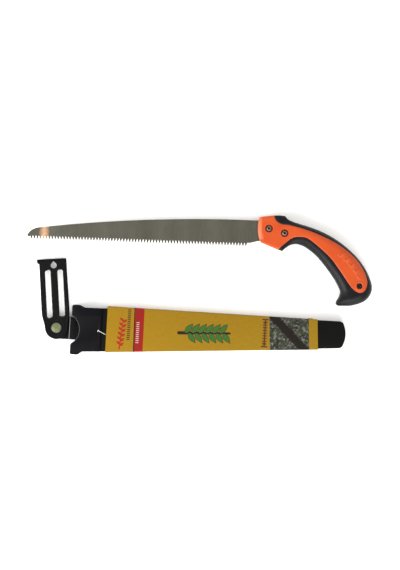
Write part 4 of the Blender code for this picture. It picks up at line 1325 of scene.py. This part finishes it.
printed_ink, tree, shader = finish_of(
    "printed_ink", (0.2, 0.02, 0.01), 0.36, Specular_IOR_Level=0.12
)
here = object_places(tree, scabbard)
laid_ink = add(tree, "ShaderNodeAttribute")
laid_ink.attribute_name = "ink"
thin = noise(tree, here, 700, 3)
ground = noise(tree, here, 2600, 3)
paler = blend_colors(tree, 0.08, laid_ink.outputs["Color"], (0.19, 0.11, 0.01))
color = blend_colors(tree, spread(tree, thin, 0, 1), laid_ink.outputs["Color"], paler)
join(tree, shader, color, spread(tree, thin, 0.28, 0.42), ground, 0.00001)
ink_mesh.materials.append(printed_ink)
print_piece = bpy.data.objects.new("sleeve_print", ink_mesh)
bpy.context.scene.collection.objects.link(print_piece)
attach(print_piece, "sleeve")

# ------------------------------------------------------------------ the nylon tack
# A clear-white nylon tag pin that is shot through the throat's edge beside the card. Its thin
# thread ends in a cross bar, and lies bent over the seam.

TACK_RADIUS, TACK_BAR = 0.32, 1.2
route = [(55.4, -0.3, 16.4), (55.4, -0.3, 18.0), (56.4, -0.8, 18.8), (59.6, -2.4, 18.6)]
route += [(62.8, -3.9, 17.4), (65.0, -4.9, 16.75)]


def tube(route, radius, steps=14):
    """Rings of points round a smooth line through the route, with domed ends."""
    line = [Vector(point) for point in (*through(route, 6), route[-1])]
    ways = [(after - before).normalized() for before, after in zip(line, line[1:])]
    ways = [ways[0], *((a + b).normalized() for a, b in zip(ways, ways[1:])), ways[-1]]
    swell = [0.45, 0.85, *([1.0] * (len(line) - 4)), 0.85, 0.45]
    rings = []
    for point, way, size in zip(line, ways, swell):
        side = way.cross(Vector((0.3, 1.0, 0.1))).normalized()
        lift = side.cross(way)
        turns = np.linspace(0, 2 * math.pi, steps, endpoint=False)
        size *= radius
        rings.append([point + size * (side * math.cos(t) + lift * math.sin(t)) for t in turns])
    return rings


tack_nylon, tree, shader = finish_of("tack_nylon", (0.55, 0.55, 0.54), 0.3)
shader.inputs["Subsurface Weight"].default_value = 0.3
shader.inputs["Subsurface Radius"].default_value = (0.001, 0.001, 0.001)
here = object_places(tree)
cloud = noise(tree, here, 900, 3)
ripple = noise(tree, here, 3600, 2)
color = blend_colors(tree, spread(tree, cloud, 0, 1), (0.45, 0.45, 0.43), (0.62, 0.62, 0.61))
join(tree, shader, color, spread(tree, cloud, 0.22, 0.4), ripple, 0.00002)
thread = lofted("nylon_thread", tube(route, TACK_RADIUS), scabbard, tack_nylon, sharp=60)
bar_ends = [(55.6 - TACK_BAR, -1.5, 18.35), (55.0, -0.7, 18.4), (55.6 + TACK_BAR / 2, 0.5, 18.35)]
bar = lofted("nylon_bar", tube(bar_ends, 0.55), scabbard, tack_nylon, sharp=60)
for piece in (thread, bar):
    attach(piece, "scabbard")
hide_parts("nylon_tack")
